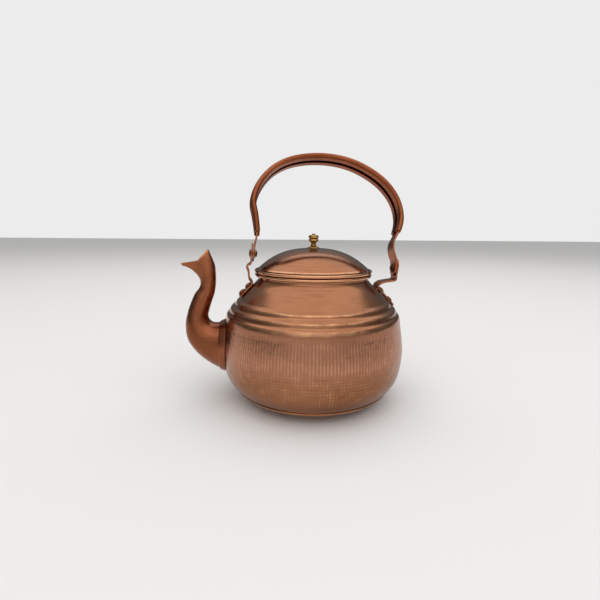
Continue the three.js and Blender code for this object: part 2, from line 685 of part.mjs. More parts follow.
const LID_TOP = domeHeight(0);
const knobBase = LID_TOP + GAP;
const studEnd = LID_TOP - LID_WALL - KNOB_WASHER_THICKNESS - NUT_THICKNESS - 4 * GAP - 1;
const knob = turned([
  [0, studEnd],
  [STUD_RADIUS, studEnd],
  [STUD_RADIUS, knobBase],
  [KNOB_FOOT_RADIUS, knobBase],
  [KNOB_FOOT_RADIUS - 0.3, knobBase + 0.7],
  [KNOB_STEM_RADIUS + 0.6, knobBase + 1.6],
  [KNOB_STEM_RADIUS, knobBase + 3],
  [KNOB_STEM_RADIUS, knobBase + 0.4 * KNOB_HEIGHT],
  [KNOB_RADIUS - 1.2, knobBase + 0.44 * KNOB_HEIGHT],
  [KNOB_RADIUS - 0.1, knobBase + 0.52 * KNOB_HEIGHT],
  [KNOB_RADIUS - 0.1, knobBase + 0.6 * KNOB_HEIGHT],
  [KNOB_RADIUS - 0.7, knobBase + 0.65 * KNOB_HEIGHT],
  [KNOB_RADIUS, knobBase + 0.7 * KNOB_HEIGHT],
  [KNOB_RADIUS, knobBase + 0.84 * KNOB_HEIGHT],
  [KNOB_RADIUS - 1.4, knobBase + 0.95 * KNOB_HEIGHT],
  [0, knobBase + KNOB_HEIGHT],
], 16);
const washerTop = LID_TOP - LID_WALL - 2 * GAP;
const knobWasher = ring(
  STUD_RADIUS + GAP,
  KNOB_WASHER_RADIUS,
  washerTop - KNOB_WASHER_THICKNESS,
  washerTop,
);
const nutTop = washerTop - KNOB_WASHER_THICKNESS - GAP;
const knobNut = turned([
  [0, nutTop - NUT_THICKNESS],
  [NUT_RADIUS, nutTop - NUT_THICKNESS],
  [NUT_RADIUS, nutTop],
  [0, nutTop],
], 6).subtract(studHole);

// ---------------------------------------------------------------- bail handle

// The strap's middle line, in the hinge's own frame: first number along the axis from the
// front pivot, second up from it. Lower points hang on the pivots, and the arch on its rise.
const frontEye = 0;
const rearEye = PIVOT_SPAN;
const END_REACH = STRAP_WIDTH / 2;
const bailPath = pathThrough([
  [frontEye, -END_REACH - 1],
  [frontEye, 0],
  [frontEye + 0.2, END_REACH],
  [frontEye + 1.6, 0.18 * HANDLE_RISE],
  [frontEye - 1.4, 0.34 * HANDLE_RISE],
  [frontEye - 5, 0.48 * HANDLE_RISE],
  [frontEye - 0.8, 0.64 * HANDLE_RISE],
  [frontEye + 13.4, 0.82 * HANDLE_RISE],
  [frontEye + 35, 0.937 * HANDLE_RISE],
  [frontEye + 0.45 * PIVOT_SPAN, HANDLE_RISE],
  [rearEye - 52, 0.972 * HANDLE_RISE],
  [rearEye - 20, 0.84 * HANDLE_RISE],
  [rearEye - 2.6, 0.67 * HANDLE_RISE],
  [rearEye + 3.6, 0.49 * HANDLE_RISE],
  [rearEye + 1, 0.34 * HANDLE_RISE],
  [rearEye - 3.6, 0.24 * HANDLE_RISE],
  [rearEye - 3.6, 0.16 * HANDLE_RISE],
  [rearEye - 0.2, END_REACH],
  [rearEye, 0],
  [rearEye, -END_REACH - 1],
]);

const halfStrap = STRAP_WIDTH / 2;
const halfSheet = STRAP_THICKNESS / 2;
const barStrip = swept([
  [-halfStrap, -halfSheet],
  [halfStrap, -halfSheet],
  [halfStrap, halfSheet],
  [-halfStrap, halfSheet],
], bailPath, 64);

// Rounded ends and eyes, in the hinge's frame.
const alongHinge = new THREE.Vector3(1, 0, 0);
const eyeAt = (along, up) => new THREE.Vector3(along, 0, up);
const farBelow = box(-60, PIVOT_SPAN + 60, -60, 60, -60, 0);
const roundEnds = rod(eyeAt(-60, 0), alongHinge, PIVOT_SPAN + 120, END_REACH, 2 * RIVET_SIDES);
const eyeHole = rod(eyeAt(-60, 0), alongHinge, PIVOT_SPAN + 120, PIVOT_SHANK_RADIUS + PIVOT_PLAY);
const handleBar = barStrip.subtract(farBelow).add(barStrip.intersect(roundEnds)).subtract(eyeHole);

// The grip is a hollow sleeve of thin sheet: domed over the strap's outside, with its edges
// folded round the strap's edges.
const bailLength = bailPath.getLength();
const gripStart = (END_REACH + 1 + GRIP_FRONT_END) / bailLength;
const gripEnd = 1 - (END_REACH + 1 + GRIP_REAR_END) / bailLength;
class Stretch extends THREE.Curve {
  getPoint(t, target = new THREE.Vector3()) {
    return bailPath.getPointAt(gripStart + (gripEnd - gripStart) * t, target);
  }
}
const halfGrip = STRAP_WIDTH / 2 + GRIP_SIDE;
const foldUnder = halfSheet + GAP + GRIP_SHEET;
const crown = -(GRIP_DEPTH - foldUnder);
const foldLip = 3.2;
const sleeveSection = [
  [-halfGrip, foldUnder],
  [-halfGrip, -halfSheet - 0.8],
  [-0.62 * halfGrip, 0.8 * crown],
  [0, crown],
  [0.62 * halfGrip, 0.8 * crown],
  [halfGrip, -halfSheet - 0.8],
  [halfGrip, foldUnder],
  [halfGrip - foldLip, foldUnder],
  [halfGrip - foldLip, foldUnder - GRIP_SHEET],
  [halfGrip - GRIP_SHEET, foldUnder - GRIP_SHEET],
  [halfGrip - GRIP_SHEET, -halfSheet - 0.4],
  [0.6 * halfGrip, 0.8 * crown + GRIP_SHEET],
  [0, crown + GRIP_SHEET],
  [-0.6 * halfGrip, 0.8 * crown + GRIP_SHEET],
  [-halfGrip + GRIP_SHEET, -halfSheet - 0.4],
  [-halfGrip + GRIP_SHEET, foldUnder - GRIP_SHEET],
  [-halfGrip + foldLip, foldUnder - GRIP_SHEET],
  [-halfGrip + foldLip, foldUnder],
];
const handleGrip = swept(sleeveSection, new Stretch(), 28);

// ---------------------------------------------------------------- assembly

const kettle = new THREE.Group();

kettle.add(node('body_shell', bodyShell, copper));
kettle.add(node('base_pan', basePan, copper));
kettle.add(node('mouth_roll', mouthRoll, copper));
kettle.add(node('mouth_wire', mouthWire, steelWire));
kettle.add(node('spout_shell', spoutShell, wornCopper));
kettle.add(node('spout_flange', spoutFlange, wornCopper));

kettle.add(node('lid_dome', lidDome, copper));
kettle.add(node('lid_roll', lidRoll, copper));
kettle.add(node('lid_wire', lidWire, steelWire));
kettle.add(node('lid_collar', lidCollar, copper));
kettle.add(node('lid_knob', knob, brass));
kettle.add(node('knob_washer', knobWasher, brass));
kettle.add(node('knob_nut', knobNut, brass));

const frontLug = lug(FRONT_PIVOT, FRONT_FOOT, [3.11, 5.87], [[1.6, -19], [3.6, -13.6]]);
const rearLug = lug(REAR_PIVOT, REAR_FOOT, [3.58, 4.09], [[-6, -14.2], [-0.6, -12.6]]);
kettle.add(node('front_lug', frontLug, wornCopper));
kettle.add(node('rear_lug', rearLug, wornCopper));

for (const { name, foot } of lugFeet) {
  const outward = footOutward(foot);
  footRivetPlaces(foot).forEach((at, i) => {
    const throughWall = roveDepth(foot, at);
    const grip = throughWall + ROVE_THICKNESS + 2 * GAP;
    const place = ['lower', 'upper'][i];
    const profile = rivetProfile(
      FOOT_SHANK_RADIUS,
      FOOT_HEAD_RADIUS,
      FOOT_HEAD_RISE,
      grip,
      FOOT_SHANK_RADIUS + 1.2,
      1.2,
    );
    const rivet = turned(profile, RIVET_SIDES);
    kettle.add(node(`${name}_foot_rivet_${place}`, stood(rivet, at, outward), rivetCopper));
    const rove = ring(
      FOOT_SHANK_RADIUS + GAP,
      ROVE_RADIUS,
      -throughWall - GAP / 2 - ROVE_THICKNESS,
      -throughWall - GAP / 2,
    );
    kettle.add(node(`${name}_foot_rove_${place}`, stood(rove, at, outward), rivetCopper));
  });
}

// Pivot rivets: head outside the lug, then lug, strap, rove and peened tail.
const pivots = [
  { name: 'front', pivot: FRONT_PIVOT, side: -1 },
  { name: 'rear', pivot: REAR_PIVOT, side: 1 },
];
for (const { name, pivot, side } of pivots) {
  const outward = hingeAxis.clone().multiplyScalar(side);
  const headSeat = lugOffset + LUG_THICKNESS / 2 + GAP;
  const at = pivot.clone().addScaledVector(outward, headSeat);
  const toRove = headSeat + STRAP_THICKNESS / 2 + GAP;
  const grip = toRove + ROVE_THICKNESS + GAP;
  const profile = rivetProfile(
    PIVOT_SHANK_RADIUS,
    PIVOT_HEAD_RADIUS,
    PIVOT_HEAD_RISE,
    grip,
    PIVOT_HEAD_RADIUS - 0.6,
    PIVOT_HEAD_RISE,
  );
  const rivet = turned(profile, RIVET_SIDES);
  kettle.add(node(`${name}_pivot_rivet`, stood(rivet, at, outward), rivetCopper));
  const rove = ring(PIVOT_SHANK_RADIUS + GAP, ROVE_RADIUS, -toRove - ROVE_THICKNESS, -toRove);
  kettle.add(node(`${name}_pivot_rove`, stood(rove, at, outward), rivetCopper));
}

// The handle hangs in its hinge's frame, leaned back from upright.
const bail = new THREE.Group();
bail.position.copy(FRONT_PIVOT);
bail.rotation.set(
  THREE.MathUtils.degToRad(-HANDLE_LEAN),
  Math.atan2(-hingeLine.z, hingeLine.x),
  0,
  'YXZ',
);
bail.add(node('handle_bar', handleBar, wornCopper));
bail.add(node('handle_grip', handleGrip, wornCopper));
kettle.add(bail);

export default kettle;
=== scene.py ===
"""A hammered copper kettle with a beaded shoulder, a domed lid, a swan-neck spout and a bail
handle on riveted lugs. Shapes are worked out in millimetres and written in metres."""

import json
import math

import bmesh
import bpy
import numpy as np
from mathutils import Matrix, Vector


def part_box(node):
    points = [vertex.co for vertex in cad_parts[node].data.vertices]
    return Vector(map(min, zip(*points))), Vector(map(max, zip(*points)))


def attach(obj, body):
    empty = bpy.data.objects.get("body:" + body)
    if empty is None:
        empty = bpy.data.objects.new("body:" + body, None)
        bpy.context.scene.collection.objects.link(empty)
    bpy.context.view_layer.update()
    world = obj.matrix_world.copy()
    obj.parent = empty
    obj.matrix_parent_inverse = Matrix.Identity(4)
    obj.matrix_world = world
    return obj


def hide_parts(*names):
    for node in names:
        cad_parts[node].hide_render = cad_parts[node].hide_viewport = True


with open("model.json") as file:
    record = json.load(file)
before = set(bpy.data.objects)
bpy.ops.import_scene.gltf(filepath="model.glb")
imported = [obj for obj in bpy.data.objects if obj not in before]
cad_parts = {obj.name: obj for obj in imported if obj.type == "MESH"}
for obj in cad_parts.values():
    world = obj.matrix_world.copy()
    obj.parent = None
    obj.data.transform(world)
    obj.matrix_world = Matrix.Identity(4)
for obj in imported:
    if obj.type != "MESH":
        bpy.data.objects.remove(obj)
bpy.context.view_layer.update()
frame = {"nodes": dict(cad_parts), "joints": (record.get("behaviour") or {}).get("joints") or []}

MM = 0.001
TURN = 2 * math.pi


# ---------------------------------------------------------------- sizes

def span(node):
    """Lowest and highest corner of a CAD node, in millimetres."""
    low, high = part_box(node)
    return Vector(low) / MM, Vector(high) / MM


joint = {made["name"]: made for made in frame["joints"]}
GAP = 0.3

BELLY_RADIUS = span("body_shell")[1].y
BELLY_HEIGHT = 54
BASE_RADIUS = 64
PAN_HEIGHT = span("base_pan")[1].z
PAN_WALL = 1
CORNER_HEIGHT = span("body_shell")[0].z
SHOULDER_HEIGHT = 94
SHOULDER_RADIUS = 91.5
NECK_HEIGHT = 131.5
NECK_RADIUS = 58.4
BODY_WALL = 1.2
BEAD_COUNT = 3
BEAD_PITCH = 6.6
BEAD_RISE = 1.2
TOP_BEAD_HEIGHT = NECK_HEIGHT - 24.9

ROLL_RADIUS = 1.75
ROLL_WALL = 0.5
MOUTH_TOP = span("mouth_roll")[1].z
MOUTH_RING = span("mouth_roll")[1].x - ROLL_RADIUS
MOUTH_OUTSIDE = MOUTH_RING - ROLL_RADIUS - GAP
MOUTH_INSIDE = MOUTH_OUTSIDE - BODY_WALL

LID_RING = span("lid_roll")[1].x - ROLL_RADIUS
LID_ROLL_HEIGHT = span("lid_roll")[1].z - ROLL_RADIUS
DOME_TOP = span("lid_dome")[1].z
DOME_FOOT = LID_ROLL_HEIGHT + 0.3
DOME_FULLNESS = 2.6
DOME_EDGE = LID_RING - ROLL_RADIUS - GAP
LID_WALL = 1
COLLAR_OUTSIDE = span("lid_collar")[1].x
COLLAR_FOOT = span("lid_collar")[0].z
KNOB_TOP = span("lid_knob")[1].z

LIP = Vector((BELLY_RADIUS + 42.5, NECK_HEIGHT + 14.1))
ROOT = Vector((BELLY_RADIUS - 3.5, 60.5))
SPOUT_NECK = 8.1
SPOUT_WALL = 1.1
SPOUT_HOLE_RADIUS = 21
FLANGE_THICKNESS = 1.2
FLANGE_WIDTH = 6

HANDLE_LEAN = math.radians(17)
HANDLE_RISE = 115.4
STRAP_WIDTH = 17
STRAP_THICKNESS = 1.8
GRIP_WIDTH = 20.5
GRIP_DEPTH = 5.3
GRIP_LIP = 7.4
GRIP_FRONT_TAPER = 24
GRIP_REAR_TAPER = 14
GRIP_FRONT_END = 22
GRIP_REAR_END = 42
GRIP_SHEET = 0.9
LUG_THICKNESS = 1.8
LUG_TOP_REACH = 10.5
FOOT_SHANK = 2.0
FOOT_HOLE_RADIUS = 2.3
FOOT_HEAD_RADIUS = 4.3
FOOT_HEAD_RISE = 2.4
PIVOT_SHANK = 2.5
PIVOT_HOLE_RADIUS = 2.6
PIVOT_HEAD_RADIUS = 4.4
PIVOT_HEAD_RISE = 1.7
PIVOT_TAIL_RADIUS = 3.8
ROVE_RADIUS = 4.8
ROVE_THICKNESS = 0.8
HINGE_AXIS = Vector(joint["handle_swing"]["axis"]).normalized()
HINGE_UP = Vector((-HINGE_AXIS.z, 0, HINGE_AXIS.x))
FRONT_PIVOT = Vector(joint["handle_swing"]["pos_m"]) / MM
REAR_PIVOT = Vector((90, 0, 141.5))
PIVOT_SPAN = (REAR_PIVOT - FRONT_PIVOT).length
FRONT_FOOT = {"side": -1, "low": 110.5, "high": 124.4, "standoff": 0.7}
REAR_FOOT = {"side": 1, "low": 99, "high": 119.8, "standoff": BEAD_RISE + GAP}


# ---------------------------------------------------------------- lines and outlines

def evenly(low, high, count):
    return [low + (high - low) * i / (count - 1) for i in range(count)]


def bent_span(start, end, leave, arrive, count):
    """Points of a curved span that leaves its start and reaches its end in given directions."""
    return [
        (2 * start - 2 * end + leave + arrive) * t**3
        + (3 * end - 3 * start - 2 * leave - arrive) * t**2
        + leave * t
        + start
        for t in np.arange(count) / count
    ]


def smooth_line(points, per_span):
    """An even Catmull-Rom line through points, as an array."""
    points = np.array(points, float)
    line = []
    for i in range(len(points) - 1):
        a, b, c, d = (points[min(max(i + k, 0), len(points) - 1)] for k in (-1, 0, 1, 2))
        line += bent_span(b, c, (c - a) / 2, (d - b) / 2, per_span)
    line.append(points[-1])
    return np.array(line)


def strap_line(points, per_span=40):
    """A centripetal Catmull-Rom line through points, as a bent strap lies."""
    points = np.array(points, float)
    points = np.vstack([2 * points[0] - points[1], points, 2 * points[-1] - points[-2]])
    line = []
    for i in range(1, len(points) - 2):
        a, b, c, d = points[i - 1 : i + 3]
        before, here, after = (math.sqrt(math.dist(*pair)) for pair in ((a, b), (b, c), (c, d)))
        leave = ((b - a) / before - (c - a) / (before + here) + (c - b) / here) * here
        arrive = ((c - b) / here - (d - b) / (here + after) + (d - c) / after) * here
        line += bent_span(b, c, leave, arrive, per_span)
    line.append(points[-2])
    return np.array(line)


class Run:
    """A line that can be read by the length gone along it."""

    def __init__(self, line):
        self.line = line
        steps = np.linalg.norm(np.diff(line, axis=0), axis=1)
        self.gone = np.concatenate([[0], np.cumsum(steps)])
        self.length = self.gone[-1]

    def at(self, length):
        return np.array([np.interp(length, self.gone, column) for column in self.line.T])

    def heading(self, length, reach=0.25):
        way = self.at(min(length + reach, self.length)) - self.at(max(length - reach, 0))
        return way / np.linalg.norm(way)

    def nearest(self, point):
        return self.gone[np.argmin(np.linalg.norm(self.line - np.array(point), axis=1))]


plain_outline = smooth_line(
    [
        (BASE_RADIUS + 0.37 * (BELLY_RADIUS - BASE_RADIUS), CORNER_HEIGHT),
        (BASE_RADIUS + 0.57 * (BELLY_RADIUS - BASE_RADIUS), PAN_HEIGHT),
        (BELLY_RADIUS - 7.8, 0.4 * BELLY_HEIGHT),
        (BELLY_RADIUS - 2.6, 0.61 * BELLY_HEIGHT),
        (BELLY_RADIUS, BELLY_HEIGHT),
        (BELLY_RADIUS - 1.6, BELLY_HEIGHT + 0.48 * (SHOULDER_HEIGHT - BELLY_HEIGHT)),
        (SHOULDER_RADIUS, SHOULDER_HEIGHT),
        (SHOULDER_RADIUS - 0.34 * (SHOULDER_RADIUS - NECK_RADIUS), TOP_BEAD_HEIGHT + 1),
        (NECK_RADIUS + 0.31 * (SHOULDER_RADIUS - NECK_RADIUS), NECK_HEIGHT - 11.3),
        (NECK_RADIUS + 3.2, NECK_HEIGHT - 4.3),
        (NECK_RADIUS, NECK_HEIGHT),
    ],
    60,
)


def body_radius(height):
    return np.interp(height, plain_outline[:, 1], plain_outline[:, 0])


def body_normal(height):
    """Outward direction of the plain body at a height, as (radial, up)."""
    slope = body_radius(height + 0.5) - body_radius(height - 0.5)
    length = np.hypot(1, slope)
    return 1 / length, -slope / length


def bead_rise(height):
    """Height of the raised rings over the plain body. The lowest runs out into the belly."""
    rise = 0
    for i in range(BEAD_COUNT):
        crest = TOP_BEAD_HEIGHT - i * BEAD_PITCH
        last_run_out = i == BEAD_COUNT - 1 and height < crest
        away = abs(height - crest) / ((1.5 if last_run_out else 0.5) * BEAD_PITCH)
        if away < 1:
            rise += BEAD_RISE * math.cos(away * math.pi / 2) ** 2
    return rise


def outline_point(height, offset=0.0, beads=True):
    radial, up = body_normal(height)
    out = offset + (bead_rise(height) if beads else 0)
    return body_radius(height) + out * radial, height + out * up


def off_body(point):
    """How far a point stands off the body's surface."""
    height = point[2]
    radial, _ = body_normal(height)
    return (math.hypot(point[0], point[1]) - body_radius(height)) * radial - bead_rise(height)


# ---------------------------------------------------------------- skins

def linked(name, data):
    """A new object of this name in the scene."""
    made = bpy.data.objects.new(name, data)
    bpy.context.scene.collection.objects.link(made)
    return made


class Skin:
    """Points and faces of one closed piece, with how rubbed bright each point is."""

    def __init__(self):
        self.points, self.rub, self.faces, self.lining = [], [], [], []

    def ring(self, points, rub=0.0):
        start = len(self.points)
        self.points.extend(points)
        self.rub.extend([rub] * len(points) if np.isscalar(rub) else rub)
        return list(range(start, len(self.points)))

    def join(self, a, b, lining=False):
        """Faces between two closed rings of equal count, one twice the other, or a pole."""
        if len(a) > len(b):
            a, b = b, a
        n = len(a)
        made = []
        if len(b) == n:
            made = [(a[i], a[(i + 1) % n], b[(i + 1) % n], b[i]) for i in range(n)]
        elif n == 1:
            made = [(a[0], b[i], b[(i + 1) % len(b)]) for i in range(len(b))]
        else:
            for i in range(n):
                here, after = a[i], a[(i + 1) % n]
                left, middle, right = b[2 * i], b[2 * i + 1], b[(2 * i + 2) % len(b)]
                made += [(here, after, middle), (here, middle, left), (after, right, middle)]
        self.faces.extend(made)
        self.lining.extend([lining] * len(made))

    def loft(self, rings):
        for a, b in zip(rings, rings[1:]):
            self.join(a, b)
        return self

    def cap(self, ring):
        """Closes a ring with a fan about its middle."""
        middle = np.mean([self.points[i] for i in ring], axis=0)
        self.join(self.ring([middle], float(np.mean([self.rub[i] for i in ring]))), ring)

    def piece(self, name, *materials, sharp=38):
        """The finished object. A second material goes on the faces of the lining."""
        mesh = bpy.data.meshes.new(name)
        mesh.from_pydata((np.array(self.points) * MM).tolist(), [], self.faces)
        mesh.attributes.new("rub", "FLOAT", "POINT").data.foreach_set("value", self.rub)
        inside = mesh.attributes.new("lining", "BOOLEAN", "FACE")
        inside.data.foreach_set("value", self.lining)
        for material in materials:
            mesh.materials.append(material)
        if len(materials) > 1:
            mesh.polygons.foreach_set("material_index", [int(k) for k in self.lining])
        work = bmesh.new()
        work.from_mesh(mesh)
        bmesh.ops.recalc_face_normals(work, faces=work.faces)
        work.to_mesh(mesh)
        work.free()
        mesh.shade_smooth()
        mesh.set_sharp_from_angle(angle=math.radians(sharp))
        return linked(name, mesh)


def around(radius, height, sides):
    """A level ring of points about the kettle's axis."""
    if radius == 0:
        return [(0, 0, height)]
    return [
        (radius * math.cos(TURN * i / sides), radius * math.sin(TURN * i / sides), height)
        for i in range(sides)
    ]


def turned(name, profile, sides, *materials, closed=True, sharp=38):
    """A piece turned about the kettle's axis from (radius, height, rub) points."""
    skin = Skin()
    rings = [skin.ring(around(radius, height, sides), rub) for radius, height, rub in profile]
    skin.loft(rings + rings[:1] if closed else rings)
    return skin.piece(name, *materials, sharp=sharp)


def settle(piece, body, slot, *nodes):
    """Rides a piece on its body in place of the CAD nodes it stands for."""
    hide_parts(*nodes)
    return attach(piece, body)


# ---------------------------------------------------------------- node benches

class Wire:
    """A node's output on which sums are written as on a number."""

    def __init__(self, bench, socket):
        self.bench, self.socket = bench, socket

    def also(self, name):
        """Another output of the same node."""
        return Wire(self.bench, self.socket.node.outputs[name])

    def __add__(self, other):
        return self.bench.sum("ADD", self, other)

    def __sub__(self, other):
        return self.bench.sum("SUBTRACT", self, other)

    def __rsub__(self, other):
        return self.bench.sum("SUBTRACT", other, self)

    def __mul__(self, other):
        return self.bench.sum("MULTIPLY", self, other)

    def __truediv__(self, other):
        return self.bench.sum("DIVIDE", self, other)

    __radd__ = __add__
    __rmul__ = __mul__

    def floor(self):
        return self.bench.sum("FLOOR", self)

    def part(self):
        """What is left over a whole number."""
        return self.bench.sum("FRACT", self)


class Bench:
    """Lays out the nodes of one tree."""

    def __init__(self, tree):
        self.tree = tree

    def put(self, kind, settings=None, sockets=None, out=0):
        node = self.tree.nodes.new(kind)
        for name, value in (settings or {}).items():
            setattr(node, name, value)
        for key, value in (sockets or {}).items():
            if isinstance(value, Wire):
                self.tree.links.new(value.socket, node.inputs[key])
            else:
                node.inputs[key].default_value = value
        return Wire(self, node.outputs[out]) if node.outputs else node

    def sum(self, operation, *values):
        return self.put("ShaderNodeMath", {"operation": operation}, dict(enumerate(values)))

    def band(self, value, low, high, soft):
        """1 between low and high, with soft ends."""
        return self.step(value, low - soft, low + soft) * (
            1 - self.step(value, high - soft, high + soft)
        )

    def step(self, value, low, high, to_low=0.0, to_high=1.0):
        """Goes smoothly from to_low to to_high as the value goes from low to high."""
        return self.put(
            "ShaderNodeMapRange",
            {"interpolation_type": "SMOOTHSTEP"},
            {0: value, 1: low, 2: high, 3: to_low, 4: to_high},
        )

    def mix(self, share, a, b):
        return self.put(
            "ShaderNodeMix", {"data_type": "RGBA"}, {0: share, 6: a, 7: b}, out=2
        )


# ---------------------------------------------------------------- finishes

def tone(red, green, blue):
    """A colour given as it looks, 0 to 255, as the shader takes it."""
    return tuple((v / 255) ** 2.2 for v in (red, green, blue)) + (1.0,)


def aged_metal(
    name,
    clean,
    dull,
    grime,
    wear_and_highlight_tone,
    roughness,
    cloud=9.0,
    lines=0.25,
    dents=0.15,
    spots=0.5,
    painted_reflection_band=None,
):
    """Old polished metal. It goes from clean to dull in clouds, is dark in small spots, is rubbed to
    worn along its edges, and has fine polishing lines that run round the kettle. The worn colour also
    carries the painted highlight that the hammered body puts on the ridges between its hammer marks. A
    band between two heights can be given a painted reflection in a pinkish tint."""
    material = bpy.data.materials.new(name)
    material.use_nodes = True
    material.node_tree.nodes.clear()
    bench = Bench(material.node_tree)
    place = bench.put("ShaderNodeTexCoord", out="Object")
    height = bench.put("ShaderNodeSeparateXYZ", sockets={0: place}, out=2)

    def grain(scale, detail=3.0, vector=place, rough=0.55):
        return bench.put(
            "ShaderNodeTexNoise",
            sockets={"Vector": vector, "Scale": scale, "Detail": detail, "Roughness": rough},
        )

    flat = bench.put(
        "ShaderNodeVectorMath", {"operation": "MULTIPLY"}, {0: place, 1: (1.0, 1.0, 22.0)}
    )
    clouds = bench.step(grain(cloud), 0.38, 0.66)
    fine = grain(cloud * 14)
    strokes = grain(38.0, 4.0, flat, 0.7)
    cells = bench.put("ShaderNodeTexVoronoi", sockets={"Vector": place, "Scale": 62.0})
    speck = (1 - bench.step(cells, 0.05, 0.11)) * bench.step(grain(31.0), 0.56, 0.62)
    # This attribute holds wear on edges and crests. On the hammered body it also holds the painted
    # highlight on the ridges between hammer marks, and both go towards the worn colour.
    rub = bench.put("ShaderNodeAttribute", {"attribute_name": "rub"}, out="Fac")
    worn_and_highlit = bench.step(rub * 1.25 + fine * 0.7 - 0.35, 0.25, 0.75)

    colour = bench.mix(clouds * 0.75 + fine * 0.3, clean, dull)
    # Painted reflection: a pinkish band round the body between two heights.
    if painted_reflection_band:
        low, high, painted_reflection_tint = painted_reflection_band
        painted_reflection_share = bench.band(height, low * MM, high * MM, 10 * MM) * (0.35 + fine * 0.5)
        colour = bench.mix(painted_reflection_share, colour, painted_reflection_tint)
    colour = bench.mix(bench.step(strokes, 0.5, 0.74, 0, 0.35), colour, grime)
    colour = bench.mix(speck * spots, colour, grime)
    colour = bench.mix(worn_and_highlit, colour, wear_and_highlight_tone)

    shine = roughness + clouds * 0.07 + strokes * 0.1 - worn_and_highlit * 0.06 + speck * 0.2 - 0.05
    relief = strokes * lines + grain(cloud * 3.1) * dents + grain(900.0, 2.0) * 0.05
    bumped = bench.put(
        "ShaderNodeBump", sockets={"Strength": 0.35, "Distance": 0.0006, "Height": relief}
    )
    shader = bench.put(
        "ShaderNodeBsdfPrincipled",
        sockets={"Base Color": colour, "Metallic": 1.0, "Roughness": shine, "Normal": bumped},
    )
    bench.put("ShaderNodeOutputMaterial", sockets={"Surface": shader})
    return material


hammered_copper = aged_metal(
    "hammered_copper",
    clean=tone(164, 113, 84),
    dull=tone(138, 92, 64),
    grime=tone(84, 50, 33),
    # the worn colour also serves as the painted highlight on the ridges between hammer marks
    wear_and_highlight_tone=tone(204, 152, 114),
    roughness=0.2,
    # a painted reflection: a pinkish band round the belly from 50 to 90 mm up
    painted_reflection_band=(50, 90, tone(174, 120, 100)),
)
lid_copper = aged_metal(
    "lid_copper",
    clean=tone(166, 113, 84),
    dull=tone(142, 96, 68),
    grime=tone(84, 50, 34),
    wear_and_highlight_tone=tone(206, 150, 114),
    roughness=0.15,
    cloud=11.0,
)
spout_copper = aged_metal(
    "spout_copper",
    clean=tone(160, 98, 70),
    dull=tone(126, 75, 51),
    grime=tone(66, 34, 22),
    wear_and_highlight_tone=tone(188, 122, 80),
    roughness=0.24,
    cloud=14.0,
    lines=0.05,
    dents=0.08,
)
strap_copper = aged_metal(
    "strap_copper",
    clean=tone(156, 90, 60),
    dull=tone(132, 73, 46),
    grime=tone(74, 34, 22),
    wear_and_highlight_tone=tone(188, 120, 84),
    roughness=0.3,
    cloud=22.0,
    lines=0.04,
    dents=0.1,
)
rivet_copper = aged_metal(
    "rivet_copper",
    clean=tone(122, 76, 54),
    dull=tone(94, 56, 38),
    grime=tone(46, 24, 17),
    wear_and_highlight_tone=tone(160, 106, 78),
    roughness=0.34,
    cloud=60.0,
    lines=0.05,
    dents=0.4,
)
knob_brass = aged_metal(
    "knob_brass",
    clean=tone(148, 108, 58),
    dull=tone(120, 86, 44),
    grime=tone(60, 40, 20),
    wear_and_highlight_tone=tone(178, 138, 84),
    roughness=0.3,
    cloud=70.0,
)
tinned_inside = aged_metal(
    "tinned_inside",
    clean=tone(168, 164, 156),
    dull=tone(140, 134, 124),
    grime=tone(84, 76, 66),
    wear_and_highlight_tone=tone(196, 192, 186),
    roughness=0.42,
    cloud=16.0,
)
edge_wire = aged_metal(
    "edge_wire",
    clean=tone(120, 116, 112),
    dull=tone(92, 84, 78),
    grime=tone(60, 40, 28),
    wear_and_highlight_tone=tone(160, 156, 150),
    roughness=0.45,
)


# ---------------------------------------------------------------- geometry trees

def new_tree(name, inputs):
    """A geometry tree with named inputs, its bench and the wires of its inputs."""
    tree = bpy.data.node_groups.new(name, "GeometryNodeTree")
    tree.interface.new_socket("Geometry", in_out="OUTPUT", socket_type="NodeSocketGeometry")
    tree.interface.new_socket("Geometry", in_out="INPUT", socket_type="NodeSocketGeometry")
    for label, kind in inputs.items():
        tree.interface.new_socket(label, in_out="INPUT", socket_type="NodeSocket" + kind)
    bench = Bench(tree)
    start = bench.put("NodeGroupInput")
    wires = {label: start.also(label) for label in ("Geometry", *inputs)}
    return tree, bench, wires


def end_tree(bench, geometry, material, selection=True):
    """Ends a tree in plain faces of one material."""
    real = bench.put("GeometryNodeRealizeInstances", sockets={0: geometry})
    painted = bench.put(
        "GeometryNodeSetMaterial", sockets={0: real, "Selection": selection, "Material": material}
    )
    bench.put("NodeGroupOutput", sockets={0: painted})


def shaped(piece, tree, values):
    """Runs a geometry tree on a piece and keeps the result as its plain mesh."""
    modifier = piece.modifiers.new(tree.name, "NODES")
    modifier.node_group = tree
    for item in tree.interface.items_tree:
        if item.in_out == "INPUT" and item.name in values:
            modifier[item.identifier] = values[item.name]
    return kept(piece, modifier)


def kept(piece, modifier):
    """Makes what a modifier does part of the mesh and removes the modifier."""
    graph = bpy.context.evaluated_depsgraph_get()
    made = bpy.data.meshes.new_from_object(
        piece.evaluated_get(graph), preserve_all_data_layers=True, depsgraph=graph
    )
    piece.modifiers.remove(modifier)
    for slot in reversed(range(len(made.materials))):
        if made.materials[slot] is None:
            made.materials.pop(index=slot)
    made.name = piece.name
    piece.data = made
    return piece


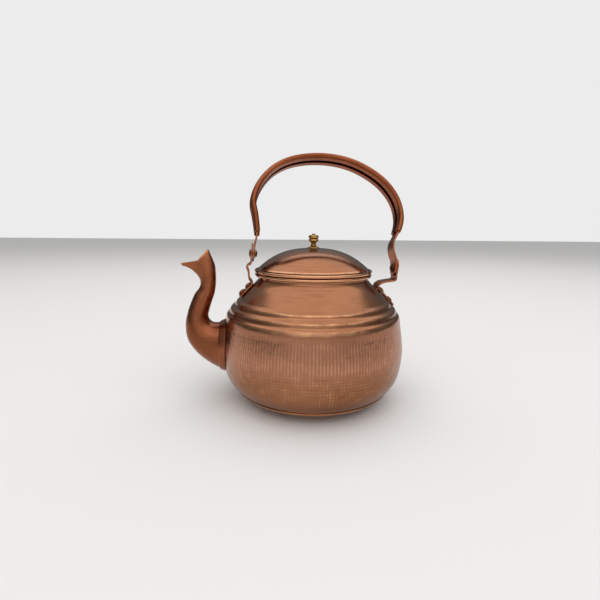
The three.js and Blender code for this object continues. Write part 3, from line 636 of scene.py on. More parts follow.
def planishing_tree():
    """Hammer marks in two belts of a turned body: long upright flutes over short marks. The ridges
    between them also get a painted highlight, added to the stored wear so that the material shows them
    in its worn colour."""
    tree, bench, given = new_tree(
        "planishing",
        {
            "Marks round": "Float",
            "Flute low": "Float",
            "Flute high": "Float",
            "Flute depth": "Float",
            "Flute length": "Float",
            "Mark low": "Float",
            "Mark height": "Float",
            "Mark depth": "Float",
            "Seed": "Float",
            "Finish": "Material",
        },
    )
    place = bench.put("ShaderNodeSeparateXYZ", sockets={0: bench.put("GeometryNodeInputPosition")})
    height = place.also("Z")
    turn = bench.sum("ARCTAN2", place.also("Y"), place.also("X"))
    walk = bench.put("GeometryNodeInputNamedAttribute", {"data_type": "FLOAT"}, {"Name": "walk"})

    def chance(row, low, high):
        """A number of its own for each mark."""
        seat = bench.put("ShaderNodeCombineXYZ", sockets={0: column, 1: row, 2: given["Seed"]})
        throw = bench.put("ShaderNodeTexWhiteNoise", {"noise_dimensions": "3D"}, {0: seat})
        return throw * (high - low) + low

    round_place = turn * given["Marks round"] / TURN + 1000
    column = (round_place + 0.01).floor()
    across = round_place.part()
    hollow = across * (1 - across) * 4

    flute_place = walk / given["Flute length"] + chance(0.0, 0.0, 0.6)
    along = flute_place.part()
    flute = hollow * (0.6 + along * (1 - along) * 1.6) * chance(flute_place.floor(), 0.35, 1.3)
    upper = given["Flute high"] + chance(7.0, -0.0016, 0.0016)
    fluted = bench.step(height, given["Flute low"] - 0.001, given["Flute low"] + 0.001) * (
        1 - bench.step(height, upper - 0.0012, upper + 0.0012)
    )

    mark_place = walk / given["Mark height"]
    down = mark_place.part()
    mark = hollow * down * (1 - down) * 4 * chance(mark_place.floor(), 0.3, 1.4)
    marked = bench.step(height, given["Mark low"] - 0.002, given["Mark low"] + 0.002) * (
        1 - bench.step(height, given["Flute low"] - 0.001, given["Flute low"] + 0.001)
    )

    inside = bench.put(
        "GeometryNodeInputNamedAttribute", {"data_type": "BOOLEAN"}, {"Name": "lining"}
    )
    outside = bench.put("FunctionNodeBooleanMath", {"operation": "NOT"}, {0: inside})
    depth = flute * fluted * given["Flute depth"] + mark * marked * given["Mark depth"]
    push = bench.put(
        "ShaderNodeVectorMath",
        {"operation": "SCALE"},
        {0: bench.put("GeometryNodeInputNormal"), "Scale": depth * -1.0},
    )
    rub = bench.put("GeometryNodeInputNamedAttribute", {"data_type": "FLOAT"}, {"Name": "rub"})
    # Painted highlight: the ridges between flutes and round the short marks are made lighter in
    # colour, added on top of the wear already stored.
    painted_ridge_highlight = (1 - hollow) * fluted * 0.5 + (1 - hollow * down * (1 - down) * 4) * marked * 0.34
    worn_and_highlit = bench.put(
        "GeometryNodeStoreNamedAttribute",
        {"data_type": "FLOAT", "domain": "POINT"},
        {0: given["Geometry"], "Selection": outside, "Name": "rub", "Value": rub + painted_ridge_highlight},
    )
    moved = bench.put(
        "GeometryNodeSetPosition",
        sockets={0: worn_and_highlit, "Selection": outside, "Offset": push},
    )
    end_tree(bench, moved, given["Finish"], outside)
    return tree


def riveting_tree():
    """A copy of one blank on each point, its Z along the point's own outward direction."""
    tree, bench, given = new_tree(
        "riveting", {"Blank": "Object", "Seed": "Int", "Finish": "Material"}
    )
    blank = bench.put("GeometryNodeObjectInfo", sockets={"Object": given["Blank"]}, out="Geometry")
    outward = bench.put(
        "GeometryNodeInputNamedAttribute", {"data_type": "FLOAT_VECTOR"}, {"Name": "outward"}
    )
    upright = bench.put("FunctionNodeAlignRotationToVector", {"axis": "Z"}, {"Vector": outward})
    spin = bench.put("FunctionNodeRandomValue", {"data_type": "FLOAT"}, {"Seed": given["Seed"]}, out=1)
    turned_spin = bench.put("ShaderNodeCombineXYZ", sockets={2: spin * TURN})
    stood = bench.put(
        "GeometryNodeInstanceOnPoints",
        sockets={"Points": given["Geometry"], "Instance": blank, "Rotation": upright},
    )
    spun = bench.put(
        "GeometryNodeRotateInstances",
        sockets={"Instances": stood, "Rotation": turned_spin, "Local Space": True},
    )
    end_tree(bench, spun, given["Finish"])
    return tree


planishing = planishing_tree()
riveting = riveting_tree()


def cut(piece, cutters):
    """Cuts other pieces' solids out of a piece and removes them."""
    for cutter in cutters:
        modifier = piece.modifiers.new("cut", "BOOLEAN")
        modifier.operation, modifier.solver, modifier.object = "DIFFERENCE", "MANIFOLD", cutter
        kept(piece, modifier)
        bpy.data.objects.remove(cutter)
    return piece


def rod(start, direction, length, radius, sides=40):
    """A plain rod, for cutting holes."""
    turn = Vector(direction).to_track_quat("Z", "Y")
    skin = Skin()
    rings = []
    for reach in (0, length):
        level = [Vector(point) for point in around(radius, reach, sides)]
        rings.append(skin.ring([tuple(turn @ point + Vector(start)) for point in level]))
    skin.loft(rings)
    skin.cap(rings[0])
    skin.cap(rings[1])
    return skin.piece("rod")


# ---------------------------------------------------------------- body

def kettle_body():
    """The raised body: lapped foot, hammered belly, beaded shoulder, neck and mouth."""
    dense = [outline_point(height) for height in np.arange(CORNER_HEIGHT, NECK_HEIGHT, 0.1)]
    dense += [(MOUTH_OUTSIDE, NECK_HEIGHT + 1.2), (MOUTH_OUTSIDE, MOUTH_TOP - GAP)]
    outline = Run(np.array(dense))
    skin = Skin()
    walk = []

    def ring(radius, height, sides, rub, gone):
        made = skin.ring(around(radius, height, sides), rub)
        walk.extend([gone] * sides)
        return made

    # Each belt: the height it ends at, the spacing of its rings and the points in a ring.
    belts = [(22, 2.0, 384), (56, 0.78, 768), (87.5, 2.3, 768), (111, 0.7, 384), (500, 1.7, 384)]
    rings = []
    gone = 0.0
    while gone < outline.length:
        radius, height = outline.at(gone)
        _, pitch, sides = next(belt for belt in belts if height < belt[0])
        crest = bead_rise(height) / BEAD_RISE
        rings.append(ring(radius, height, sides, 0.42 * max(crest, 0) ** 2, gone))
        gone += pitch
    rings.append(ring(MOUTH_OUTSIDE, MOUTH_TOP - GAP, 384, 0.6, gone))
    for a, b in zip(rings, rings[1:]):
        skin.join(a, b)

    inner = [(MOUTH_INSIDE, MOUTH_TOP - GAP, 384), (MOUTH_INSIDE, NECK_HEIGHT + 1.2, 384)]
    inner += [
        (*outline_point(height, -BODY_WALL, False), 192)
        for height in evenly(NECK_HEIGHT - 0.5, CORNER_HEIGHT, 40)
    ]
    last, first = rings[-1], rings[0]
    for k, (radius, height, sides) in enumerate(inner):
        made = ring(radius, height, sides, 0.0, 0.0)
        skin.join(last, made, lining=k > 0)
        last = made
    skin.join(last, first)

    body = skin.piece("kettle_body", hammered_copper, tinned_inside, sharp=50)
    body.data.attributes.new("walk", "FLOAT", "POINT").data.foreach_set(
        "value", [gone * MM for gone in walk]
    )
    hole = rod((-BELLY_RADIUS - 10, 0, ROOT.y), (1, 0, 0), 40, SPOUT_HOLE_RADIUS, 64)
    cut(body, [hole])
    shaped(
        body,
        planishing,
        {
            "Marks round": 192.0,
            "Flute low": 56.5 * MM,
            "Flute high": 85.5 * MM,
            "Flute depth": 0.2 * MM,
            "Flute length": 7.5 * MM,
            "Mark low": 23 * MM,
            "Mark height": 3.1 * MM,
            "Mark depth": 0.14 * MM,
            "Seed": 5.0,
            "Finish": hammered_copper,
        },
    )
    settle(body, "kettle_body", "body_copper", "body_shell")


def base_pan():
    """The shallow pan that laps the body's foot, with a flat bottom and a rolled lip."""
    step = PAN_WALL + GAP
    side = [outline_point(h, step, False) for h in evenly(CORNER_HEIGHT, PAN_HEIGHT - 0.4, 6)]
    start = Vector(side[0])
    corner = [
        (1 - t) ** 2 * Vector((BASE_RADIUS, 0))
        + 2 * t * (1 - t) * Vector((BASE_RADIUS + 0.36 * (start.x - BASE_RADIUS), 0.2 * start.y))
        + t * t * start
        for t in evenly(0, 1, 9)
    ]
    edge = [outline_point(PAN_HEIGHT, off, False) for off in (step - 0.3, GAP + 0.25, GAP)]
    inner = [outline_point(h, GAP, False) for h in evenly(PAN_HEIGHT - 0.5, CORNER_HEIGHT, 4)]
    profile = [(0, 0, 0), (BASE_RADIUS / 2, 0, 0), (BASE_RADIUS - 2, 0, 0.1)]
    profile += [(p.x, p.y, 0.5 * (k < 3)) for k, p in enumerate(corner[:-1])]
    profile += [(r, z, 0.5 * (k > 4)) for k, (r, z) in enumerate(side)]
    profile += [(r, z, 0.8) for r, z in edge] + [(r, z, 0) for r, z in inner]
    profile += [(inner[-1][0] - 3, CORNER_HEIGHT - 2.2, 0), (BASE_RADIUS, PAN_WALL, 0)]
    profile += [(BASE_RADIUS / 2, PAN_WALL, 0), (0, PAN_WALL, 0)]
    pan = turned("base_pan_copper", profile, 256, hammered_copper, closed=False)
    settle(pan, "kettle_body", "body_copper", "base_pan")


def rolled_edge(name, ring_radius, height):
    """Sheet rolled round a wire: an open C in section, worn on its outside."""
    outer, inner = [], []
    for degrees in evenly(250, 540, 27):
        angle = math.radians(degrees)
        way = Vector((math.cos(angle), math.sin(angle)))
        rub = max(0.0, way.x) ** 2
        for radius, side, shown in ((ROLL_RADIUS, outer, rub), (ROLL_RADIUS - ROLL_WALL, inner, 0)):
            side.append((ring_radius + radius * way.x, height + radius * way.y, shown))
    return turned(name, outer + inner[::-1], 256, lid_copper)


# ---------------------------------------------------------------- lid

def dome_height(radius):
    rise = DOME_TOP - DOME_FOOT
    return DOME_FOOT + rise * (1 - (radius / LID_RING) ** DOME_FULLNESS)


def domed_lid():
    """The dome in one sheet with the hole for the knob's stud, and the collar under it."""
    skin = []
    for radius in np.concatenate([np.linspace(2.3, 50, 34), np.linspace(51, DOME_EDGE, 14)]):
        slope = (dome_height(radius + 0.1) - dome_height(radius - 0.1)) / 0.2
        lean = Vector((-slope, 1)).normalized()
        skin.append((radius, dome_height(radius), lean))
    outer = [(r, z, 0.5 * (r > DOME_EDGE - 1.5)) for r, z, _ in skin]
    inner = [(r - LID_WALL * n.x, z - LID_WALL * n.y, 0) for r, z, n in skin]
    inner[0] = (2.3, inner[0][1], 0)
    dome = turned("domed_lid", outer + inner[::-1], 288, lid_copper)
    settle(dome, "lid", "body_copper", "lid_dome")

    top = span("lid_collar")[1].z
    profile = [
        (COLLAR_OUTSIDE - 1, COLLAR_FOOT + 0.2, 0.4),
        (COLLAR_OUTSIDE - 0.8, COLLAR_FOOT, 0.8),
        (COLLAR_OUTSIDE - 0.2, COLLAR_FOOT, 0.8),
        (COLLAR_OUTSIDE, COLLAR_FOOT + 0.2, 0.5),
        (COLLAR_OUTSIDE, COLLAR_FOOT + 4, 0),
        (COLLAR_OUTSIDE, top - 0.8, 0),
        (COLLAR_OUTSIDE - 1, top - 0.1, 0),
        (COLLAR_OUTSIDE - 1, COLLAR_FOOT + 4, 0),
    ]
    collar = turned("lid_collar_ring", profile, 192, lid_copper)
    settle(collar, "lid", "body_copper", "lid_collar")


def turned_knob():
    """The brass knob: foot flange, waisted stem, two rings, cap and a small button on top."""
    foot = DOME_TOP + GAP
    rise = KNOB_TOP - foot
    stud = span("lid_knob")[0].z
    shape = [
        (6.2, 0.0, 0.2), (6.2, 0.35, 1), (5.9, 0.7, 0.8), (4.6, 1.0, 0), (3.5, 1.5, 0),
        (2.9, 2.4, 0), (2.7, 3.4, 0), (2.7, 5.2, 0), (2.9, 5.7, 0), (3.9, 6.2, 0.2),
        (4.9, 6.7, 0.6), (5.25, 7.3, 1), (5.3, 8.1, 1), (5.1, 8.8, 0.8), (4.6, 9.2, 0),
        (4.45, 9.55, 0), (4.7, 9.85, 0), (5.2, 10.2, 0.6), (5.4, 10.7, 1), (5.4, 12.0, 1),
        (5.2, 12.6, 0.9), (4.5, 13.1, 0.4), (3.4, 13.4, 0), (2.4, 13.5, 0), (1.9, 13.6, 0),
        (1.8, 14.2, 0.6), (1.5, 14.7, 1), (0.8, 14.95, 1), (0, 15.0, 1),
    ]
    profile = [(0, stud, 0), (1.7, stud, 0), (2, stud + 0.3, 0), (2, foot, 0)]
    profile += [(radius, foot + up * rise / shape[-1][1], rub) for radius, up, rub in shape]
    knob = turned("turned_knob", profile, 96, knob_brass, closed=False, sharp=45)
    settle(knob, "lid", "knob_brass", "lid_knob")


# ---------------------------------------------------------------- spout

SPOUT_ROUND = 96
# Sections of the swan neck, each by its edge towards the lip, its edge towards the body (both
# out from the axis and up), its half-width across, and how far the lip side comes to a point.
spout_sections = [
    (ROOT + Vector((-13.1, -32.9)), ROOT + Vector((-18.9, 29.9)), 29, 0),
    (ROOT + Vector((3, -28.8)), ROOT + Vector((-3, 28.8)), 26, 0),
    (ROOT + Vector((15.3, -22.9)), ROOT + Vector((0.7, 24.9)), 22.5, 0),
    (ROOT + Vector((29.5, -11.6)), ROOT + Vector((6.5, 22.6)), SPOUT_NECK + 10.9, 0),
    (LIP + Vector((-5.8, -81.1)), LIP + Vector((-34, -62.7)), SPOUT_NECK + 7.7, 0),
    (LIP + Vector((-3.7, -64.5)), LIP + Vector((-29.9, -60.3)), SPOUT_NECK + 4.9, 0),
    (LIP + Vector((-6, -51.7)), LIP + Vector((-27.8, -54.9)), SPOUT_NECK + 2.9, 0),
    (LIP + Vector((-9.5, -41.7)), LIP + Vector((-29.1, -48.5)), SPOUT_NECK + 2.1, 0),
    (LIP + Vector((-14.3, -31.2)), LIP + Vector((-32.1, -39)), SPOUT_NECK + 1.2, 0),
    (LIP + Vector((-19.4, -24.4)), LIP + Vector((-35.2, -29.8)), SPOUT_NECK, 0),
    (LIP + Vector((-20.7, -18.7)), LIP + Vector((-36.9, -18.9)), SPOUT_NECK, 0),
    (LIP + Vector((-19.7, -14.4)), LIP + Vector((-37, -8.6)), SPOUT_NECK, 0.15),
    (LIP + Vector((-16.3, -9.4)), LIP + Vector((-36.2, -0.6)), SPOUT_NECK - 0.2, 0.35),
    (LIP + Vector((-11.4, -4.9)), LIP + Vector((-33.9, 5.9)), SPOUT_NECK - 0.8, 0.5),
    (LIP + Vector((-6.2, -2.3)), LIP + Vector((-31.8, 11)), SPOUT_NECK - 1.9, 0.6),
    (LIP + Vector((-2.2, -0.7)), LIP + Vector((-30, 15.4)), SPOUT_NECK - 4.1, 0.55),
    (LIP + Vector((-0.8, 4.4)), LIP + Vector((-28.1, 19.4)), 1.6, 0.5),
]
LAST_SECTION = len(spout_sections) - 1
SMOOTHNESS = 20

neck_table = smooth_line(
    [(*outer, *inner, wide, point) for outer, inner, wide, point in spout_sections], SMOOTHNESS
)
neck_steps = np.arange(len(neck_table)) / SMOOTHNESS


def neck_point(place, angle, offset):
    """A point of the spout's skin at a section, an angle round it and an offset outwards."""
    out, up, in_out, in_up, wide, point = (
        np.interp(place, neck_steps, column) for column in neck_table.T
    )
    half = math.hypot(out - in_out, up - in_up) / 2
    way = (out - in_out) / (2 * half), (up - in_up) / (2 * half)
    in_plane = math.cos(angle) * max(half + offset, 0.3)
    towards_lip = (1 + math.cos(angle)) / 2
    across = math.sin(angle) * max(wide + offset, 0.3) * (1 - point * towards_lip**1.5)
    middle = (out + in_out) / 2, (up + in_up) / 2
    return -(middle[0] + way[0] * in_plane), across, middle[1] + way[1] * in_plane


NOTCH = LIP + Vector((-18.3, 3.6))


def over_beak(point):
    """How far a point is above the beak's open edge, which dips to a notch and runs out."""
    out = -point[0] - NOTCH.x
    edge = NOTCH.y - out * (1.103 if out < 0 else 0.132)
    return point[2] - edge


def crossing(measure, low, high, wanted):
    """Where a rising measure reaches the wanted value."""
    for _ in range(26):
        middle = (low + high) / 2
        low, high = (low, middle) if measure(middle) > wanted else (middle, high)
    return (low + high) / 2


def neck_start(angle, offset, stand_off):
    return crossing(lambda s: off_body(neck_point(s, angle, offset)), 0.0, 6.0, stand_off)


def neck_end(angle, offset):
    """Where the skin first passes the beak's open edge."""
    trial = 9.0
    while trial < LAST_SECTION and over_beak(neck_point(trial, angle, offset)) < 0:
        trial += 0.1
    if trial >= LAST_SECTION:
        return float(LAST_SECTION)
    return crossing(lambda s: over_beak(neck_point(s, angle, offset)), trial - 0.1, trial, 0)


def swan_spout():
    """The spout's sheet, from the body's wall to the cut edge of the beak."""
    skin = Skin()
    angles = [TURN * i / SPOUT_ROUND for i in range(SPOUT_ROUND)]
    sheets = []
    for offset in (0.0, -SPOUT_WALL):
        ends = [(neck_start(a, offset, GAP), neck_end(a, offset)) for a in angles]
        rows = 132 if offset == 0 else 84
        rings = []
        for share in evenly(0, 1, rows):
            points = [
                neck_point(low + (high - low) * share, a, offset)
                for a, (low, high) in zip(angles, ends)
            ]
            rings.append(skin.ring(points, 0.9 * max(0.0, share - 0.965) / 0.035))
        sheets.append(rings)
    outside, inside = sheets
    rim = [
        tuple((np.array(skin.points[a]) + np.array(skin.points[b])) / 2 + (0, 0, 0.18))
        for a, b in zip(outside[-1], inside[-1])
    ]
    skin.loft(outside + [skin.ring(rim, 0.9)] + inside[::-1] + outside[:1])
    spout = skin.piece("swan_spout", spout_copper, sharp=60)
    settle(spout, "kettle_body", "spout_copper", "spout_shell")


def spout_collar():
    """The soldered band that hides the joint of spout and body."""
    skin = Skin()
    angles = [TURN * i / (2 * SPOUT_ROUND) for i in range(2 * SPOUT_ROUND)]
    low, high = GAP, GAP + FLANGE_THICKNESS
    section = [
        (low, GAP + 0.1), (high, GAP + 0.1), (high, GAP + 1.2),
        (high, FLANGE_WIDTH - 1.4), (high - 0.15, FLANGE_WIDTH - 0.5),
        (high - 0.5, FLANGE_WIDTH), (low + 0.2, FLANGE_WIDTH + 0.1), (low, FLANGE_WIDTH - 0.2),
    ]
    rings = []
    for offset, stand_off in section:
        points = [neck_point(neck_start(a, offset, stand_off), a, offset) for a in angles]
        rings.append(skin.ring(points, 0.2 if stand_off > FLANGE_WIDTH - 1.5 else 0.0))
    skin.loft(rings + rings[:1])
    collar = skin.piece("spout_collar", spout_copper)
    settle(collar, "kettle_body", "spout_copper", "spout_flange")


# ---------------------------------------------------------------- straps

def rounded_strap(half_width, half_thick, corner=0.55):
    """A flat strap's section with soft corners, as (across, through, rub) points."""
    corner = min(corner, half_thick * 0.9, half_width * 0.9)
    section = []
    for x_side, y_side, start in ((1, 1, 0), (-1, 1, 90), (-1, -1, 180), (1, -1, 270)):
        for degrees in (0, 30, 60, 90):
            angle = math.radians(start + degrees)
            section.append(
                (
                    x_side * (half_width - corner) + corner * math.cos(angle),
                    y_side * (half_thick - corner) + corner * math.sin(angle),
                    0.4,
                )
            )
        flat = y_side * half_thick
        if start in (0, 180):
            reach = half_width - corner
            for share in (0.93, 0.6, 0.2, -0.2, -0.6, -0.93):
                section.append((x_side * reach * share, flat, 0.2 if abs(share) > 0.9 else 0.0))
    return section


def place_in_plane(point, across, through, way):
    """Puts a section's point on a line in the XZ plane: across along -Y, through square to it."""
    return point[0] + way[1] * through, -across, point[1] - way[0] * through


def drawn_along(run, stations, section_at, to_world):
    """A skin drawn along a line, and its rings, one at each station. Its ends are open."""
    skin = Skin()
    rings = []
    for place in stations:
        point, way = run.at(place), run.heading(place)
        section = section_at(place)
        ring = [to_world(place_in_plane(point, a, t, way)) for a, t, _ in section]
        rings.append(skin.ring(ring, [rub for _, _, rub in section]))
    return skin.loft(rings), rings


def strap_skin(run, stations, section_at, to_world):
    """A strap along a line, with both ends closed."""
    skin, rings = drawn_along(run, stations, section_at, to_world)
    skin.cap(rings[0])
    skin.cap(rings[-1])
    return skin


def round_end(away, reach):
    """Half-width of a strap at a distance past the middle of its round end."""
    return math.sqrt(max(reach**2 - max(away, 0.0) ** 2, 0.04))


def from_pivot(pivot, side, out, up):
    place = pivot + HINGE_AXIS * (side * out) + HINGE_UP * up
    return place.x, place.z


LUG_OFFSET = (STRAP_THICKNESS + LUG_THICKNESS) / 2 + GAP


def foot_rivet_seats(foot):
    """The middles of the two foot rivets' heads, on the foot's outer face."""
    rise = foot["standoff"] + LUG_THICKNESS + GAP
    radial, up = body_normal((foot["low"] + foot["high"]) / 2)
    length = foot["high"] - foot["low"]
    outward = Vector((foot["side"] * radial, 0, up))
    seats = []
    for height in (foot["low"] + 0.24 * length, foot["high"] - 0.24 * length):
        out = body_radius(height) + rise * radial
        seats.append((Vector((foot["side"] * out, 0, height + rise * up)), outward))
    return seats


def lug(name, node, pivot, foot, bends):
    """A bent strap: foot on the shoulder, then bends, then an upright end with the eye."""
    side = foot["side"]
    rise = foot["standoff"] + LUG_THICKNESS / 2
    radial, up = body_normal((foot["low"] + foot["high"]) / 2)
    low, high = (
        Vector((side * (body_radius(h) + rise * radial), h + rise * up))
        for h in (foot["low"], foot["high"])
    )
    points = [low.lerp(high, share) for share in (0, 0.25, 0.5, 0.75, 1)]
    points += [from_pivot(pivot, side, out + LUG_OFFSET, lift) for out, lift in bends]
    points += [
        from_pivot(pivot, side, LUG_OFFSET + 0.2, -LUG_TOP_REACH),
        from_pivot(pivot, side, LUG_OFFSET, 0.15 - LUG_TOP_REACH),
        from_pivot(pivot, side, LUG_OFFSET, 0),
        from_pivot(pivot, side, LUG_OFFSET, LUG_TOP_REACH),
    ]
    run = Run(strap_line(points))
    half = STRAP_WIDTH / 2
    round_start = run.length - half
    corner = 3.0

    def section_at(place):
        width = round_end(place - round_start, half)
        if place < corner:
            width = half - corner + math.sqrt(max(corner**2 - (corner - place) ** 2, 0.02))
        return rounded_strap(width, LUG_THICKNESS / 2)

    stations = [corner * (1 - math.cos(math.radians(a))) for a in range(0, 90, 15)]
    stations += list(np.arange(corner, round_start, 0.8))
    stations += [round_start + half * math.sin(math.radians(a)) for a in range(5, 91, 5)]
    skin = strap_skin(run, stations, section_at, lambda point: point)
    made = skin.piece(name, strap_copper)
    eyes = [rod(pivot - HINGE_AXIS * 20, HINGE_AXIS, 40, PIVOT_HOLE_RADIUS)]
    eyes += [
        rod(seat - out * 8, out, 16, FOOT_HOLE_RADIUS) for seat, out in foot_rivet_seats(foot)
    ]
    settle(cut(made, eyes), "kettle_body", "strap_copper", node)


bail_up = HINGE_UP * math.cos(HANDLE_LEAN) + Vector((0, 1, 0)) * math.sin(HANDLE_LEAN)
bail_across = Vector((0, 1, 0)) * math.cos(HANDLE_LEAN) - HINGE_UP * math.sin(HANDLE_LEAN)


def in_bail(point):
    """From the bail's own frame, (along, across, up) from the front pivot, to the kettle's."""
    return tuple(
        FRONT_PIVOT + HINGE_AXIS * point[0] + bail_across * point[1] + bail_up * point[2]
    )


bail_points = [
    (0, -STRAP_WIDTH / 2 - 1),
    (0, 0),
    (0.2, STRAP_WIDTH / 2),
    (1.6, 0.18 * HANDLE_RISE),
    (-1.4, 0.34 * HANDLE_RISE),
    (-5, 0.48 * HANDLE_RISE),
    (-0.8, 0.64 * HANDLE_RISE),
    (13.4, 0.82 * HANDLE_RISE),
    (35, 0.937 * HANDLE_RISE),
    (0.45 * PIVOT_SPAN, HANDLE_RISE),
    (PIVOT_SPAN - 52, 0.972 * HANDLE_RISE),
    (PIVOT_SPAN - 20, 0.84 * HANDLE_RISE),
    (PIVOT_SPAN - 2.6, 0.67 * HANDLE_RISE),
    (PIVOT_SPAN + 3.6, 0.49 * HANDLE_RISE),
    (PIVOT_SPAN + 1, 0.34 * HANDLE_RISE),
    (PIVOT_SPAN - 3.6, 0.24 * HANDLE_RISE),
    (PIVOT_SPAN - 3.6, 0.16 * HANDLE_RISE),
    (PIVOT_SPAN - 0.2, STRAP_WIDTH / 2),
    (PIVOT_SPAN, 0),
    (PIVOT_SPAN, -STRAP_WIDTH / 2 - 1),
]
bail_run = Run(strap_line(bail_points))


def bail_strap():
    """The long strap of the bail, with round ends and eyes."""
    front, rear = bail_run.nearest(bail_points[1]), bail_run.nearest(bail_points[-2])
    half = STRAP_WIDTH / 2

    def section_at(place):
        away = max(front - place, place - rear, 0.0)
        return rounded_strap(round_end(away, half), STRAP_THICKNESS / 2)

    turn = [half * math.sin(math.radians(a)) for a in range(5, 91, 5)]
    stations = [front - away for away in reversed(turn)]
    stations += list(np.arange(front, rear, 1.5)) + [rear] + [rear + away for away in turn]
    skin = strap_skin(bail_run, stations, section_at, in_bail)
    strap = skin.piece("bail_strap", strap_copper)
    eyes = [
        rod(pivot - HINGE_AXIS * 10, HINGE_AXIS, 20, PIVOT_HOLE_RADIUS)
        for pivot in (FRONT_PIVOT, REAR_PIVOT)
    ]
    settle(cut(strap, eyes), "handle", "strap_copper", "handle_bar")


def grip_section(width, depth):
    """A thin sheet domed over the strap with its edges rolled under, as a closed section."""
    half = width / 2
    under = STRAP_THICKNESS / 2 + GAP + GRIP_SHEET
    crown = -(depth - under)
    roll = min((under - (-STRAP_THICKNESS / 2 - 0.8)) / 2, 1.9)
    middle = under - roll
    line = [(half - GRIP_LIP, under, 0.3), (half - GRIP_LIP + 0.6, under, 0.6)]
    for degrees in range(90, -61, -15):
        angle = math.radians(degrees)
        line.append(
            (half - roll + roll * math.cos(angle), middle + roll * math.sin(angle), 1.0)
        )
    shoulder = line[-1]
    for share in (0.8, 0.6, 0.4, 0.2, 0.0):
        bow = crown + (shoulder[1] - crown) * share**2.4
        line.append((shoulder[0] * share, bow, 0.15))
    line += [(-a, t, rub) for a, t, rub in line[-2::-1]]
    points = np.array([(a, t) for a, t, _ in line])
    ways = np.gradient(points, axis=0)
    ways /= np.linalg.norm(ways, axis=1)[:, None]
    inner = points + np.column_stack([ways[:, 1], -ways[:, 0]]) * -GRIP_SHEET
    return line + [(a, t, 0.0) for a, t in inner[::-1]]


def bail_grip():
    """The hollow sleeve round the top of the bail, drawn in a little at its ends."""
    start = bail_run.nearest(bail_points[1]) + GRIP_FRONT_END
    end = bail_run.nearest(bail_points[-2]) - GRIP_REAR_END

    def section_at(place):
        drawn_in = min((place - start) / GRIP_FRONT_TAPER, (end - place) / GRIP_REAR_TAPER)
        full = min(max(drawn_in, 0.0), 1.0) ** 0.6
        return grip_section(GRIP_WIDTH - 1.4 * (1 - full), GRIP_DEPTH - 1.0 * (1 - full))

    skin, rings = drawn_along(bail_run, np.linspace(start, end, 150), section_at, in_bail)
    sides = len(rings[0]) // 2
    for ring in (rings[0], rings[-1]):
        outer, inner = ring[:sides], ring[sides:][::-1]
        for i in range(sides - 1):
            skin.faces.append((outer[i], outer[i + 1], inner[i + 1], inner[i]))
            skin.lining.append(False)
    grip = skin.piece("bail_grip", strap_copper, sharp=60)
    settle(grip, "handle", "strap_copper", "handle_grip")


# ---------------------------------------------------------------- rivets

def rivet_blank(shank, head, rise, grip, tail, tail_rise):
    """A rivet with a hand-set head: its dome has flats where the hammer met it."""
    profile = [(0.01, -grip - tail_rise), (0.6 * tail, -grip - 0.8 * tail_rise)]
    profile += [(tail, -grip - 0.15), (tail, -grip), (shank, -grip), (shank, 0), (head - 0.2, 0)]
    dome = []
    for degrees in evenly(8, 88, 9):
        angle = math.radians(degrees)
        dome.append((head * math.cos(angle) ** 0.8, rise * (0.12 + 0.88 * math.sin(angle) ** 1.2)))
    sides = 36
    skin = Skin()
    rings = []
    for radius, height in profile + dome + [(0, rise)]:
        points = []
        for x, y, z in around(radius, height, sides):
            if z > 0 and radius > 0:
                turn = math.atan2(y, x)
                flat = 1 - 0.035 * (math.cos(3 * turn + 0.6) + 0.6 * math.cos(5 * turn + z))
                x, y, z = x * min(flat, 1), y * min(flat, 1), z * (1 - 0.07 * math.sin(2 * turn) ** 2)
            points.append((x, y, z))
        rings.append(skin.ring(points, 0.8 if height > 0.55 * rise else 0.1))
    skin.loft(rings)
    skin.cap(rings[0])
    return skin.piece("rivet_blank", rivet_copper)


def rove_blank(inside):
    """A small round washer that a rivet is peened over."""
    return turned(
        "rove_blank",
        [
            (inside, 0, 0), (ROVE_RADIUS - 0.2, 0, 0.3), (ROVE_RADIUS, 0.2, 1),
            (ROVE_RADIUS, ROVE_THICKNESS - 0.2, 1), (ROVE_RADIUS - 0.2, ROVE_THICKNESS, 0.3),
            (inside, ROVE_THICKNESS, 0),
        ],
        36,
        rivet_copper,
    )


def stand_copies(name, blank, seats, seed, *nodes):
    """One copy of a blank on each (place, outward) seat, as one piece."""
    mesh = bpy.data.meshes.new(name)
    mesh.from_pydata([tuple(seat * MM) for seat, _ in seats], [], [])
    outward = mesh.attributes.new("outward", "FLOAT_VECTOR", "POINT")
    outward.data.foreach_set("vector", [v for _, way in seats for v in way])
    copies = linked(name, mesh)
    shaped(copies, riveting, {"Blank": blank, "Seed": seed, "Finish": rivet_copper})
    bpy.data.objects.remove(blank)
    settle(copies, "kettle_body", "rivet_copper", *nodes)


